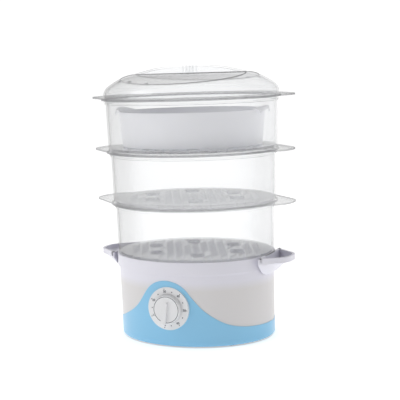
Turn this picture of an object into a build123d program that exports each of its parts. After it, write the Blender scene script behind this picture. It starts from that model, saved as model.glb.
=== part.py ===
from build123d import *
import os
from math import acos, atan2, cos, degrees, hypot, radians, sin, sqrt

# Electric food steamer with three stacked baskets, in millimetres.
# The origin is on the table under the middle of the base, +Z is up and the dial faces -Y.

# ---------------------------------------------------------------------------
# Driving dimensions
# ---------------------------------------------------------------------------

# Heights of the stack, from the table upwards
base_rim_height = 124.5
bottom_basket_rise = 78.7
middle_basket_rise = 76.0
top_basket_rise = 77.5
lid_rise = 43.3

# Plan: every wall is an oval whose half depth is shorter than its half length by this much.
# Each wall flares out over its height and each piece stands out a little from the one below.
plan_difference = 21.0
base_top_half = 118.8
base_flare = 2.1
bottom_basket_step = 0.3
bottom_basket_flare = 2.6
middle_basket_step = 1.5
middle_basket_flare = 2.7
top_basket_step = 1.7
top_basket_flare = 3.2

# Clearances
seat_gap = 0.05
slide_gap = 0.6
fit_gap = 0.1
running_gap = 0.05
thread_gap = 0.02
cut_margin = 5.0

# Baskets
basket_wall = 2.2
basket_floor = 3.0
socket_depth = 8.0
socket_wall = 2.0
socket_step = 1.6
socket_ledge = 2.0
spigot_depth = 6.0
spigot_wall = 2.0
flange_thickness = 2.2
flange_lip = 1.8
flange_drop = 4.8
flange_end_overhang = 4.2
flange_side_overhang = 9.2
ear_turn = -4.5
ear_tip_width = 42.0
ear_corner = 18.0
bottom_ear_overhang = 36.3
middle_ear_overhang = 32.9
top_ear_overhang = 29.4

# Floor of a basket: steam slots along Y and six wells that hold eggs upright
slot_pitch = 7.0
slot_width = 3.0
slot_length = 24.0
slot_bridge = 6.0
slot_margin = 7.0
well_count = 6
well_turn = -9.0
well_long_share = 0.62
well_deep_share = 0.62
well_radius = 9.0
well_collar_wall = 1.6
well_collar_height = 1.5

# Lid
lid_wall = 2.2
lid_overhang = 1.0
lid_side_height = 5.3
dome_shape = (
    (0.983, 0.13), (0.96, 0.23), (0.90, 0.37), (0.81, 0.54), (0.694, 0.684),
    (0.56, 0.80), (0.41, 0.91), (0.22, 0.975), (0.04, 1.0),
)
ridge_width = 16.0
facet_top_drop = 12.0
facet_fall = 0.1364
rib_count = 4
rib_pitch = 5.0
rib_width = 2.0
rib_height = 0.8
vent_radius = 2.4
vents = ((-86.0, -58.0), (-66.0, -66.0), (-30.0, -86.0))

# Rice bowl
bowl_wall = 2.0
bowl_floor = 2.0
bowl_clearance = 21.6
bowl_flare = 5.0
bowl_height = 51.0
bowl_ear_overhang = 10.5
bowl_ear_width = 52.0
bowl_ear_rise = 6.0
bowl_ear_thickness = 1.8

# Base
tank_wall = 3.2
tank_floor_height = 46.5
tank_floor = 2.5
collar_height = 18.5
collar_proud = 2.2
skirt_wall = 2.0
skirt_proud = 0.6
skirt_ground_gap = 2.0
skirt_foot_inset = 1.6
skirt_foot_height = 4.0
cover_height = 4.5
cover_thickness = 2.5
wave_center = -7.5
wave_radius = 40.0
wave_arc_from = 30.0
wave_arc_to = 145.0
wave_right = ((48.0, 53.0), (80.0, 31.8))
wave_left = ((-60.0, 55.5), (-93.0, 35.0))
wave_side_height = 24.2

# Filling pockets that are also the handles of the base: the underside is given by points
# measured back from the tip and down from the rim of the base
pocket_turn = -3.0
pocket_overhang = 36.0
pocket_tip_width = 34.0
pocket_corner = 15.0
pocket_wall = 2.4
pocket_lip_wall = 4.0
pocket_lip_height = 7.0
pocket_tip_drop = 7.5
pocket_underside = ((9.0, 10.2), (17.0, 15.0), (24.0, 24.5))
pocket_root = (40.0, 36.0)
inlet_half_width = 14.0
inlet_height = 9.0
inlet_drop = 26.5

# Drip tray
tray_ledge_height = 107.0
tray_ledge_width = 3.0
tray_ledge_thickness = 2.5
tray_plate = 2.0
tray_dish_inset = 16.0
tray_wall = 1.8
tray_dish_height = 9.0
tray_steam_slots = 12
tray_slot_length = 30.0
tray_slot_width = 7.0

# Steam ring
ring_clearance = 6.3
ring_wall = 1.8
ring_height = 48.0
ring_notches = 6
ring_notch_width = 14.0
ring_notch_height = 6.0

# Heater
heater_ring_gap = 12.5
heater_rim_overlap = 6.5
heater_body_gap = 1.5
heater_sheet = 1.5
heater_rise = 5.0
heater_seal_thickness = 2.0
element_inset = 7.5
element_thickness = 6.6
element_leg_spread = 26.0
element_leg_length = 12.0
clamp_thickness = 2.0
clamp_inner_gap = 1.0
clamp_width = 8.5
clamp_screw_overhang = 4.0
clamp_screws = 3
clamp_lug_radius = 5.5
thermostat_radius = 8.5
thermostat_height = 9.0
blade_width = 6.3
blade_thickness = 0.8
blade_length = 7.0
fuse_radius = 2.0
fuse_length = 13.0
fuse_offset = 14.0

# Dial, knob and timer: they face the front a little left of the middle
dial_offset = -4.0
dial_height = 57.4
bezel_radius = 31.2
bezel_proud = 1.6
bezel_edge = 1.0
sleeve_radius = 8.0
knob_radius = 20.5
knob_height = 7.6
knob_edge = 2.0
knob_gap = 0.4
pointer_angle = -103.0
pointer_tail = 14.0
pointer_reach = 22.0
pointer_tail_width = 3.2
pointer_tip_width = 7.8
pointer_height = 3.0
mark_count = 7
mark_step = 52.0
mark_radius = 27.5
mark_length = 3.0
mark_width = 0.9
mark_height = 0.2
shaft_radius = 3.0
shaft_in_knob = 5.0
plate_setback = 16.4
plate_thickness = 1.5
plate_width = 62.0
plate_height = 46.0
plate_screw_offset = 27.0
plate_screw_length = 6.0
case_size = 44.0
case_depth = 20.0
case_wall = 1.5
cam_radius = 12.0
cam_thickness = 3.0
cam_offset = 3.0
barrel_radius = 15.0
barrel_thickness = 6.0
switch_size = (6.0, 7.0, 16.0)
bell_radius = 17.0
bell_depth = 5.0
bell_wall = 1.0
bell_post_radius = 3.0
bay_half_width = 33.0
bay_setback = 46.4
bay_wall = 2.2
bay_headroom = 3.0

# Fasteners and feet
screw_radius = 1.5
screw_head_radius = 3.0
screw_head_height = 2.0
boss_radius = 4.5
cover_screw_shares = (0.675, 0.43)
cover_screw_length = 12.0
foot_radius = 8.0
foot_stem_radius = 3.0
foot_flange_height = 1.5
foot_shares = (0.625, 0.59)

# Mains entry
gland_height = 15.0
gland_bore_radius = 3.6
gland_radius = 6.0
gland_flange_radius = 7.8
gland_flange = 2.0
block_size = (30.0, 16.0, 14.0)
block_wall_gap = 18.0
block_standoff = 3.0
wire_radius = 1.4
wire_bend = 7.0

# ---------------------------------------------------------------------------
# Levels that follow from the sizes
# ---------------------------------------------------------------------------

base_foot_half = base_top_half - base_flare
bottom_basket_foot_half = base_top_half + bottom_basket_step
bottom_basket_top_half = bottom_basket_foot_half + bottom_basket_flare
middle_basket_foot_half = bottom_basket_top_half + middle_basket_step
middle_basket_top_half = middle_basket_foot_half + middle_basket_flare
top_basket_foot_half = middle_basket_top_half + top_basket_step
top_basket_top_half = top_basket_foot_half + top_basket_flare
lid_foot_half = top_basket_top_half + lid_overhang
bowl_foot_half = top_basket_foot_half - bowl_clearance
bowl_rim_half = bowl_foot_half + bowl_flare
bowl_ear_reach = bowl_rim_half + bowl_ear_overhang
pocket_reach = base_top_half + pocket_overhang
bottom_flange_z = base_rim_height + bottom_basket_rise
middle_flange_z = bottom_flange_z + middle_basket_rise
top_flange_z = middle_flange_z + top_basket_rise
crest_z = top_flange_z + lid_rise
tank_floor_under = tank_floor_height - tank_floor
tank_foot_z = cover_height + cover_thickness
collar_z = base_rim_height - collar_height
wall_step = base_flare / base_rim_height
dial_half = base_foot_half + wall_step * dial_height + skirt_proud
dial_wall = dial_half - plan_difference
bezel_face = dial_wall + bezel_proud
plate_depth = bezel_face - plate_setback
bay_depth = bezel_face - bay_setback
ring_radius = bay_depth - bay_wall - ring_clearance
heater_hole_radius = ring_radius - heater_ring_gap
heater_rim_radius = heater_hole_radius + heater_rim_overlap
heater_body_radius = heater_hole_radius - heater_body_gap
element_radius = heater_body_radius - element_inset
clamp_inner_radius = heater_body_radius + clamp_inner_gap
clamp_outer_radius = clamp_inner_radius + clamp_width
clamp_screw_circle = clamp_outer_radius + clamp_screw_overhang
base_foot_depth = base_foot_half - plan_difference
cover_screw_offset = (base_foot_half * cover_screw_shares[0], base_foot_depth * cover_screw_shares[1])
foot_offset = (base_foot_half * foot_shares[0], base_foot_depth * foot_shares[1])
block_offset = (0.0, base_foot_depth - tank_wall - block_wall_gap)
bezel_back = bezel_face - bezel_proud / 2
knob_face = bezel_face + knob_gap + knob_height
shaft_tip = knob_face - shaft_in_knob
case_front = plate_depth - plate_thickness
case_back = case_front - case_depth
bay_top_z = dial_height + case_size / 2 + bay_headroom


# ---------------------------------------------------------------------------
# Shapes shared by several pieces
# ---------------------------------------------------------------------------

def oval(half_length, z):
    """Oval section of a wall at height z."""
    return Pos(0, 0, z) * Ellipse(half_length, half_length - plan_difference)


def tub(*levels):
    """Solid oval body through (half length, height) levels."""
    return loft([oval(half_length, z) for half_length, z in levels], ruled=True)


def column(half_length, z_low, z_high):
    """Solid oval body with upright sides."""
    return extrude(oval(half_length, z_low), z_high - z_low)


def base_half(z):
    """Half length of the outside of the base at height z."""
    return base_foot_half + wall_step * z


def base_tub(inset, z_low, z_high):
    """The drafted body of the base, drawn in by inset."""
    return tub((base_half(z_low) - inset, z_low), (base_half(z_high) - inset, z_high))


def rod(radius, x, y, z_low, z_high):
    """Upright round bar."""
    return Pos(x, y, (z_low + z_high) / 2) * Cylinder(radius, z_high - z_low)


def dial_rod(radius, depth_front, depth_back, x=0.0, z=dial_height):
    """Round bar along Y between two distances in front of the middle of the base."""
    middle = -(depth_front + depth_back) / 2
    return Pos(x, middle, z) * Rot(90, 0, 0) * Cylinder(radius, depth_front - depth_back)


def at_dial(shape):
    """Moves a shape made in front of the middle to the place of the dial."""
    return Pos(dial_offset, 0, 0) * shape


def slab(x_low, x_high, y_low, y_high, z_low, z_high):
    """Box given by its two corners."""
    size = (x_high - x_low, y_high - y_low, z_high - z_low)
    return Pos(x_low, y_low, z_low) * Box(*size, align=(Align.MIN, Align.MIN, Align.MIN))


def four_corners(offset):
    """The four places at plus and minus the given offsets."""
    return [(sx * offset[0], sy * offset[1]) for sx in (-1, 1) for sy in (-1, 1)]


def around(count, radius, start=0.0):
    """Places spaced evenly round a circle, with their angles."""
    angles = [start + 360.0 * index / count for index in range(count)]
    return [(radius * cos(radians(a)), radius * sin(radians(a)), a) for a in angles]


# ---------------------------------------------------------------------------
# Baskets
# ---------------------------------------------------------------------------

def touch_angle(half_length, half_depth, point, side):
    """Angle on an oval at which a line from a point outside touches it, on the given side."""
    x = point[0] / half_length
    y = point[1] / half_depth
    return atan2(y, x) + side * acos(1 / hypot(x, y))


def turned(x, y, turn):
    """Point (x, y) turned about the middle by an angle in degrees."""
    turn = radians(turn)
    return x * cos(turn) - y * sin(turn), x * sin(turn) + y * cos(turn)


def ear_outline(half_length, half_depth, ear, inset=0.0):
    """Oval drawn out to a blunt ear at each end by straight sides, all drawn in by inset."""
    reach, tip_width, corner, turn = ear
    tip = tip_width / 2
    touch = touch_angle(half_length, half_depth, (reach, tip), 1)
    run = reach - half_length * cos(touch)
    fall = half_depth * sin(touch) - tip
    tip -= inset * (hypot(run, fall) - fall) / run
    half_length -= inset
    half_depth -= inset
    rear = turned(reach - inset, tip, turn)
    front = turned(reach - inset, -tip, turn)
    rear_angle = degrees(touch_angle(half_length, half_depth, rear, 1))
    front_angle = degrees(touch_angle(half_length, half_depth, front, -1))
    sweep = front_angle + 180 - rear_angle
    back_arc = EllipticalCenterArc((0, 0), half_length, half_depth, rear_angle, arc_size=sweep)
    front_arc = EllipticalCenterArc((0, 0), half_length, half_depth, rear_angle + 180, arc_size=sweep)
    left = Polyline(back_arc @ 1, (-front[0], -front[1]), (-rear[0], -rear[1]), front_arc @ 0)
    right = Polyline(front_arc @ 1, front, rear, back_arc @ 0)
    outline = make_face(back_arc + left + front_arc + right)
    ends = [v for v in outline.vertices() if hypot(v.X, v.Y) > reach - inset - fit_gap]
    return fillet(ends, corner - inset)


def flange(top_half, ear_overhang):
    """Flat rim with two ears, its top face at z = 0, turned down along the oval only."""
    half_length = top_half + flange_end_overhang
    half_depth = top_half - plan_difference + flange_side_overhang
    ear = (top_half + ear_overhang, ear_tip_width, ear_corner, ear_turn)
    plate = extrude(ear_outline(half_length, half_depth, ear), -flange_thickness)
    band = Ellipse(half_length, half_depth) - Ellipse(half_length - flange_lip, half_depth - flange_lip)
    return plate + extrude(band, -flange_drop)


def well_places(floor_half):
    """Middles of the egg wells on a floor of the given half length."""
    long_radius = floor_half * well_long_share
    deep_radius = (floor_half - plan_difference) * well_deep_share
    return [
        (long_radius * cos(radians(a)), deep_radius * sin(radians(a)))
        for _, _, a in around(well_count, 1.0, well_turn)
    ]


def slot_is_free(x, y, floor_half):
    """True where a slot stays inside the floor and clear of every egg well."""
    half_depth = floor_half - plan_difference - slot_margin
    end = abs(y) + slot_length / 2
    side = abs(x) + slot_width / 2
    if (side / (floor_half - slot_margin)) ** 2 + (end / half_depth) ** 2 > 1:
        return False
    keep_out = well_radius + well_collar_wall + slot_width / 2 + well_collar_height
    for well_x, well_y in well_places(floor_half):
        nearest_y = max(0.0, abs(y - well_y) - slot_length / 2)
        if sqrt((x - well_x) ** 2 + nearest_y ** 2) < keep_out:
            return False
    return True


def floor_slots(floor_half):
    """Flat pattern of the steam slots."""
    columns = int(floor_half / slot_pitch)
    rows = int((floor_half - plan_difference) / (slot_length + slot_bridge)) + 1
    slots = Sketch()
    for column_index in range(-columns, columns + 1):
        shift = (slot_length + slot_bridge) / 2 * (column_index % 2)
        for row_index in range(-rows, rows + 1):
            x = column_index * slot_pitch
            y = row_index * (slot_length + slot_bridge) + shift
            if slot_is_free(x, y, floor_half):
                slots += Pos(x, y) * SlotOverall(slot_length, slot_width, rotation=90)
    return slots


def basket(seat_z, flange_z, foot_half, top_half, ear_overhang, spigot_half):
    """One see-through basket: wall, perforated floor, socket, flange and locating spigot."""
    foot_z = seat_z + seat_gap
    ledge_z = flange_z - socket_depth
    shoulder_z = ledge_z - socket_ledge
    shoulder_half = top_half - socket_step
    floor_z = foot_z + basket_floor
    body = tub((foot_half, foot_z), (shoulder_half, shoulder_z))
    body += column(top_half, shoulder_z, flange_z)
    body += Pos(0, 0, flange_z) * flange(top_half, ear_overhang)
    body -= tub((foot_half - basket_wall, floor_z), (shoulder_half - basket_wall, ledge_z))
    body -= column(top_half - socket_wall, ledge_z, flange_z + cut_margin)
    spigot = column(spigot_half, foot_z - spigot_depth, foot_z)
    body += spigot - column(spigot_half - spigot_wall, foot_z - spigot_depth, foot_z)
    floor_half = spigot_half - spigot_wall
    collars = [Pos(x, y) * Circle(well_radius + well_collar_wall) for x, y in well_places(floor_half)]
    holes = [Pos(x, y) * Circle(well_radius) for x, y in well_places(floor_half)]
    body += Pos(0, 0, floor_z) * extrude(Sketch() + collars, well_collar_height)
    openings = floor_slots(floor_half) + holes
    body -= Pos(0, 0, foot_z - cut_margin) * extrude(openings, 3 * cut_margin)
    return body


def spigot_in(half_length, wall):
    """Half length of a spigot that drops into an oval of the given outside and wall."""
    return half_length - wall - slide_gap


# ---------------------------------------------------------------------------
# Lid
# ---------------------------------------------------------------------------

def dome(half_length, foot_z, side_z, top_z):
    """Oval dome with short upright sides."""
    levels = [(1.0, foot_z), (1.0, side_z)]
    levels += [(share, side_z + height * (top_z - side_z)) for share, height in dome_shape]
    half_depth = half_length - plan_difference
    sections = [Pos(0, 0, z) * Ellipse(share * half_length, share * half_depth) for share, z in levels]
    return loft(sections, ruled=True)


def facet_cut(sink, narrow):
    """Wedge in front of the ridge that leaves a sloping facet, sunk and moved in for the inside."""
    start = ridge_width / 2 - narrow
    high = crest_z - facet_top_drop - sink
    reach = lid_foot_half
    low = high - facet_fall * (reach - start)
    wedge = Polyline(
        (start, high), (reach, low), (reach, crest_z + cut_margin), (start, crest_z + cut_margin),
        close=True,
    )
    wedge_solid = extrude(Plane.YZ * make_face(wedge), lid_foot_half, both=True)
    return wedge_solid + mirror(wedge_solid, Plane.XZ)


def grip_ribs(outer):
    """Ribs down the middle of both ridge faces and along the facets below them."""
    start = ridge_width / 2
    high = crest_z - facet_top_drop
    end = lid_foot_half
    low = high - facet_fall * (end - start)
    section = Polyline(
        (0, crest_z - rib_height), (start + rib_height, crest_z - 2 * rib_height),
        (start + rib_height, high + rib_height), (end, low + rib_height),
        (end, low - lid_wall), (0, high - lid_wall),
        close=True,
    )
    blade = extrude(Plane.YZ * make_face(section), rib_width / 2, both=True)
    blade += mirror(blade, Plane.XZ)
    first = -(rib_count - 1) / 2 * rib_pitch
    blades = [Pos(first + index * rib_pitch, 0, 0) * blade for index in range(rib_count)]
    return (Part() + blades) & outer


def make_lid():
    """One-piece clear lid: dome with a lengthwise grip ridge between two facets."""
    foot_z = top_flange_z + seat_gap
    side_z = foot_z + lid_side_height
    outer_dome = dome(lid_foot_half, foot_z, side_z, crest_z)
    outer = outer_dome - facet_cut(0, 0)
    inner_dome = dome(lid_foot_half - lid_wall, foot_z - cut_margin, side_z, crest_z - lid_wall)
    inner = inner_dome - facet_cut(lid_wall, lid_wall)
    body = outer + grip_ribs(outer_dome) - inner
    spigot_half = spigot_in(top_basket_top_half, socket_wall)
    ring = column(spigot_half, foot_z - spigot_depth, foot_z + lid_side_height / 2)
    body += ring - column(spigot_half - spigot_wall, foot_z - spigot_depth, foot_z + lid_side_height / 2)
    body += column(lid_foot_half - fit_gap, foot_z, foot_z + spigot_wall) - column(
        spigot_half - spigot_wall, foot_z, foot_z + spigot_wall
    )
    for x, y in vents:
        for turn in (1, -1):
            body -= rod(vent_radius, turn * x, turn * y, side_z, crest_z + cut_margin)
    return body


# ---------------------------------------------------------------------------
# Rice bowl, drip tray and steam ring
# ---------------------------------------------------------------------------

def make_rice_bowl():
    """Oval bowl that stands on the floor of the top basket, with a raised ear at each end."""
    foot_z = middle_flange_z + seat_gap + basket_floor + well_collar_height + seat_gap
    rim_z = foot_z + bowl_height
    body = tub((bowl_foot_half, foot_z), (bowl_rim_half, rim_z))
    half_gap = (bowl_ear_reach - bowl_rim_half) / 2
    crest = Spline(
        (bowl_rim_half - bowl_wall, rim_z - bowl_ear_rise),
        (bowl_rim_half + half_gap, rim_z + bowl_ear_rise),
        (bowl_ear_reach, rim_z), tangents=((0.2, 1), (0.2, -1)),
    )
    ear_face = make_face(
        crest + Polyline(crest @ 1, (bowl_rim_half + half_gap, rim_z - bowl_ear_rise), crest @ 0)
    )
    strip = ear_face - Pos(0, -bowl_ear_thickness) * ear_face
    ear = extrude(Plane.XZ * strip, bowl_ear_width / 2, both=True)
    body += [ear, mirror(ear, Plane.YZ)]
    inside_low = bowl_foot_half - bowl_wall
    inside_high = bowl_rim_half - bowl_wall
    body -= tub((inside_low, foot_z + bowl_floor), (inside_high, rim_z + seat_gap))
    body -= column(inside_high, rim_z, rim_z + 2 * bowl_ear_rise)
    return body


def make_drip_tray():
    """Shallow dish on a ledge of the tank, ringed by steam slots."""
    foot_z = tray_ledge_height + seat_gap
    plate_half = base_half(foot_z) - tank_wall - slide_gap
    dish_half = plate_half - tray_dish_inset
    body = column(plate_half, foot_z, foot_z + tray_plate)
    body += column(dish_half, foot_z, foot_z + tray_dish_height)
    body -= column(dish_half - tray_wall, foot_z + tray_plate, foot_z + tray_dish_height)
    middle_long = plate_half - tray_dish_inset / 2
    middle_deep = middle_long - plan_difference
    slots = Sketch()
    for _, _, angle in around(tray_steam_slots, 1.0, 180.0 / tray_steam_slots):
        x = middle_long * cos(radians(angle))
        y = middle_deep * sin(radians(angle))
        heading = Vector(-middle_long * sin(radians(angle)), middle_deep * cos(radians(angle)))
        turn = Vector(1, 0).get_signed_angle(heading)
        slots += Pos(x, y) * SlotOverall(tray_slot_length, tray_slot_width, rotation=turn)
    body -= Pos(0, 0, foot_z - cut_margin) * extrude(slots, 3 * cut_margin)
    return body


def make_steam_ring():
    """Open ring that stands round the heater and makes the first steam quickly."""
    foot_z = tank_floor_height + seat_gap
    body = rod(ring_radius, 0, 0, foot_z, foot_z + ring_height)
    body -= rod(ring_radius - ring_wall, 0, 0, foot_z - cut_margin, foot_z + ring_height + cut_margin)
    for x, y, angle in around(ring_notches, ring_radius):
        notch = Box(4 * ring_wall, ring_notch_width, 2 * ring_notch_height)
        body -= Pos(x, y, foot_z) * Rot(0, 0, angle) * notch
    return body


# ---------------------------------------------------------------------------
# Base
# ---------------------------------------------------------------------------

def wave_region(lift):
    """Everything below the wave edge of the skirt, which is low round the back."""
    crest = CenterArc((wave_center, dial_height), wave_radius, wave_arc_from, wave_arc_to - wave_arc_from)
    side = base_top_half + collar_proud
    right = Spline(
        crest @ 0, *wave_right, (side, wave_side_height), tangents=(-(crest % 0), (1, 0))
    )
    left = Spline(
        crest @ 1, *wave_left, (-side, wave_side_height), tangents=(crest % 1, (-1, 0))
    )
    below = -cut_margin
    frame = Polyline((side, wave_side_height), (side, below), (-side, below), (-side, wave_side_height))
    front = extrude(Plane.XZ * make_face(crest + right + left + frame), side)
    back = slab(-side, side, 0, side, below, wave_side_height)
    return Pos(0, 0, lift) * (front + back)


def skirt_band(inset_outer, inset_inner, lift):
    """Band of the base between two insets, under the wave edge."""
    high = collar_z - fit_gap
    band = base_tub(inset_outer, skirt_ground_gap, high) - base_tub(inset_inner, skirt_ground_gap, high)
    return band & wave_region(lift)


def make_lower_skirt():
    """Coloured shell round the foot of the base."""
    body = skirt_band(-skirt_proud, skirt_wall - skirt_proud, 0)
    foot = column(base_half(0) + 2 * skirt_proud, 0, skirt_foot_height)
    foot -= tub(
        (base_half(0) + skirt_proud - skirt_foot_inset, skirt_ground_gap),
        (base_half(skirt_foot_height) + skirt_proud, skirt_foot_height),
    )
    body -= foot
    body -= at_dial(dial_rod(sleeve_radius + fit_gap, bezel_face, bay_depth))
    return body - gland_hole()


def pocket_plan(inset=0.0):
    """Plan of the collar with both pockets, drawn in by inset."""
    collar_half = base_top_half + collar_proud
    ear = (pocket_reach, pocket_tip_width, pocket_corner, pocket_turn)
    return ear_outline(collar_half, collar_half - plan_difference, ear, inset)


def pocket_profile(inset):
    """Side view of one pocket as a prism across the base."""
    top = base_rim_height + (cut_margin if inset else 0)
    high = base_rim_height + inset
    points = [(pocket_reach - back - inset, high - drop) for back, drop in pocket_underside]
    root = (pocket_reach - pocket_root[0], high - pocket_root[1])
    tip = (pocket_reach, high - pocket_tip_drop)
    underside = Spline(tip, *points, root)
    rest = Polyline(root, (root[0], top), (pocket_reach, top), tip)
    return extrude(Plane.XZ * make_face(underside + rest), pocket_reach, both=True)


def pockets(outline, inset, z_low, z_high):
    """Both pockets inside an outline, between two heights."""
    block = Pos(0, 0, z_low) * extrude(outline, z_high - z_low)
    profile = pocket_profile(inset)
    return (block & profile) + (block & mirror(profile, Plane.YZ))


def pocket_hollows():
    """Open insides of the pockets with the inlets that lead into the tank."""
    top = base_rim_height
    lip_z = top - pocket_lip_height
    low = pockets(pocket_plan(pocket_wall), pocket_wall, top - pocket_root[1], lip_z)
    high = pockets(pocket_plan(pocket_lip_wall), pocket_wall, lip_z, top + cut_margin)
    hollow = (low + high) - column(base_top_half + collar_proud, 0, top + 2 * cut_margin)
    for side in (-1, 1):
        reach = base_top_half + collar_proud + pocket_wall
        start = base_top_half - 2 * tank_wall
        half = inlet_half_width
        inlet = slab(start, reach, -half, half, top - inlet_drop, top - inlet_drop + inlet_height)
        hollow += inlet if side > 0 else mirror(inlet, Plane.YZ)
    return hollow


def gland_hole():
    """Bore through the rear wall for the mains entry."""
    return Pos(0, base_foot_half - plan_difference, gland_height) * Rot(90, 0, 0) * Cylinder(
        gland_radius + fit_gap, 4 * cut_margin
    )


def timer_bay(grow):
    """Space behind the dial that holds the timer, grown by a wall for its outside."""
    half = bay_half_width + grow
    block = slab(-half, half, -base_top_half, -bay_depth + grow, 0, bay_top_z + grow)
    return at_dial(block) & base_tub(tank_wall - grow / 2, 0, base_rim_height)


def make_water_tank():
    """Milky upper body: tank, electrics space, collar, filling pockets and bosses."""
    body = base_tub(0, tank_foot_z, base_rim_height)
    body += column(base_top_half + collar_proud, collar_z, base_rim_height)
    body += pockets(pocket_plan(), 0, base_rim_height - pocket_root[1], base_rim_height)
    water = tub(
        (base_half(tank_floor_height) - tank_wall, tank_floor_height),
        (base_half(base_rim_height) - tank_wall, base_rim_height),
    )
    body -= water - timer_bay(bay_wall)
    body -= base_tub(tank_wall, tank_foot_z, tank_floor_under)
    body -= timer_bay(0)
    ledge_low = tray_ledge_height - tray_ledge_thickness
    ledge = base_tub(tank_wall - fit_gap, ledge_low, tray_ledge_height)
    body += ledge - base_tub(tank_wall + tray_ledge_width, ledge_low, tray_ledge_height)
    for x, y in four_corners(cover_screw_offset):
        body += rod(boss_radius, x, y, tank_foot_z, tank_floor_under)
        body -= rod(screw_radius + thread_gap, x, y, tank_foot_z, tank_foot_z + cover_screw_length)
    for x, y, _ in around(clamp_screws, clamp_screw_circle, 90.0):
        boss_foot = clamp_level() + clamp_thickness
        body += rod(boss_radius, x, y, boss_foot, tank_floor_under)
        body -= rod(screw_radius + thread_gap, x, y, boss_foot, tank_floor_under)
    for side in (-1, 1):
        x = side * plate_screw_offset
        wall_depth = dial_wall - skirt_proud - tank_wall
        body += at_dial(dial_rod(boss_radius - 1, wall_depth, plate_depth, x))
        plate_screw = dial_rod(screw_radius + thread_gap, plate_depth + plate_screw_length, plate_depth, x)
        body -= at_dial(plate_screw)
    body -= rod(heater_hole_radius, 0, 0, 0, tank_floor_height + cut_margin)
    body -= pocket_hollows()
    recess = skirt_band(-cut_margin, skirt_wall - skirt_proud + fit_gap, fit_gap)
    body -= recess
    body -= at_dial(dial_rod(sleeve_radius + fit_gap, bezel_face, plate_depth))
    return body - gland_hole()


def make_bottom_cover():
    """Flat cover under the electrics, with holes for the feet and the screws."""
    half = base_foot_half - skirt_wall + skirt_proud - fit_gap
    body = column(half, cover_height, tank_foot_z)
    for x, y in four_corners(cover_screw_offset):
        body -= rod(screw_radius + running_gap, x, y, 0, tank_foot_z)
    for x, y in four_corners(foot_offset):
        body -= rod(foot_stem_radius, x, y, 0, tank_foot_z)
    return body


def make_feet():
    """Four rubber feet pushed through the cover."""
    feet = Part()
    for x, y in four_corners(foot_offset):
        feet += rod(foot_radius, x, y, 0, cover_height)
        feet += rod(foot_stem_radius - running_gap, x, y, cover_height, tank_foot_z + foot_flange_height)
    return feet


def upright_screw(x, y, head_z, length):
    """Screw that goes up from its head."""
    head = rod(screw_head_radius, x, y, head_z - screw_head_height, head_z)
    return head + rod(screw_radius, x, y, head_z, head_z + length)


def make_cover_screws():
    """Screws that hold the bottom cover."""
    length = cover_screw_length + cover_thickness - fit_gap
    return Part() + [upright_screw(x, y, cover_height, length) for x, y in four_corners(cover_screw_offset)]


# ---------------------------------------------------------------------------
# Heater
# ---------------------------------------------------------------------------

def plate_level():
    """Underside of the rim of the heater plate."""
    return tank_floor_under - heater_seal_thickness - heater_sheet


def clamp_level():
    """Underside of the clamp ring."""
    return plate_level() - clamp_thickness


def heater_top_under():
    """Underside of the raised middle of the heater plate."""
    return tank_floor_height + heater_rise - heater_sheet


def make_heater_plate():
    """Pressed steel plate with a raised middle that heats the water."""
    low = plate_level()
    rim = rod(heater_rim_radius, 0, 0, low, low + heater_sheet)
    cup = rod(heater_body_radius, 0, 0, low, heater_top_under() + heater_sheet)
    hollow = rod(heater_body_radius - heater_sheet, 0, 0, low - cut_margin, heater_top_under())
    return rim + cup - hollow


def make_heater_seal():
    """Rubber ring between the heater plate and the tank floor."""
    low = plate_level() + heater_sheet
    return rod(heater_rim_radius, 0, 0, low, tank_floor_under) - rod(
        heater_body_radius + fit_gap, 0, 0, low, tank_floor_under
    )


def make_heater_clamp():
    """Ring that presses the heater against its seal."""
    low = clamp_level()
    body = rod(clamp_outer_radius, 0, 0, low, low + clamp_thickness)
    for x, y, _ in around(clamp_screws, clamp_screw_circle, 90.0):
        body += rod(clamp_lug_radius, x, y, low, low + clamp_thickness)
        body -= rod(screw_radius + running_gap, x, y, low, low + clamp_thickness)
    return body - rod(clamp_inner_radius, 0, 0, low, low + clamp_thickness)


def make_heater_screws():
    """Screws that pull the clamp ring up."""
    length = tank_floor_under - clamp_level() - fit_gap
    places = around(clamp_screws, clamp_screw_circle, 90.0)
    return Part() + [upright_screw(x, y, clamp_level(), length) for x, y, _ in places]


def element_leg_place():
    """Place of one leg of the element; the other is its mirror image."""
    x = element_leg_spread / 2
    return x, sqrt(element_radius ** 2 - x ** 2)


def make_heating_element():
    """Tubular element brazed under the plate: an open ring with a leg at each end."""
    tube = element_thickness / 2
    middle_z = heater_top_under() - tube
    leg_x, leg_y = element_leg_place()
    opening = 2 * (90.0 - degrees(atan2(leg_y, leg_x)))
    section = Plane.XZ * Pos(element_radius, middle_z) * Circle(tube)
    body = Rot(0, 0, 90.0 + opening / 2) * revolve(section, Axis.Z, 360.0 - opening)
    for side in (-1, 1):
        body += Pos(side * leg_x, leg_y, middle_z) * Sphere(tube)
        body += rod(tube, side * leg_x, leg_y, middle_z - element_leg_length, middle_z)
    return body


def make_thermostat():
    """Snap-disc thermostat under the middle of the plate, with two blades."""
    high = heater_top_under()
    low = high - thermostat_height
    body = rod(thermostat_radius, 0, 0, low, high)
    half = blade_width / 2
    for side in (-1, 1):
        x = side * thermostat_radius / 2
        body += slab(x - blade_thickness / 2, x + blade_thickness / 2, -half, half, low - blade_length, low)
    return body


def make_thermal_fuse():
    """One-shot fuse held against the plate."""
    place = Pos(0, fuse_offset, heater_top_under() - fuse_radius)
    return place * Rot(0, 90, 0) * Cylinder(fuse_radius, fuse_length)


# ---------------------------------------------------------------------------
# Dial, knob and timer
# ---------------------------------------------------------------------------

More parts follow.
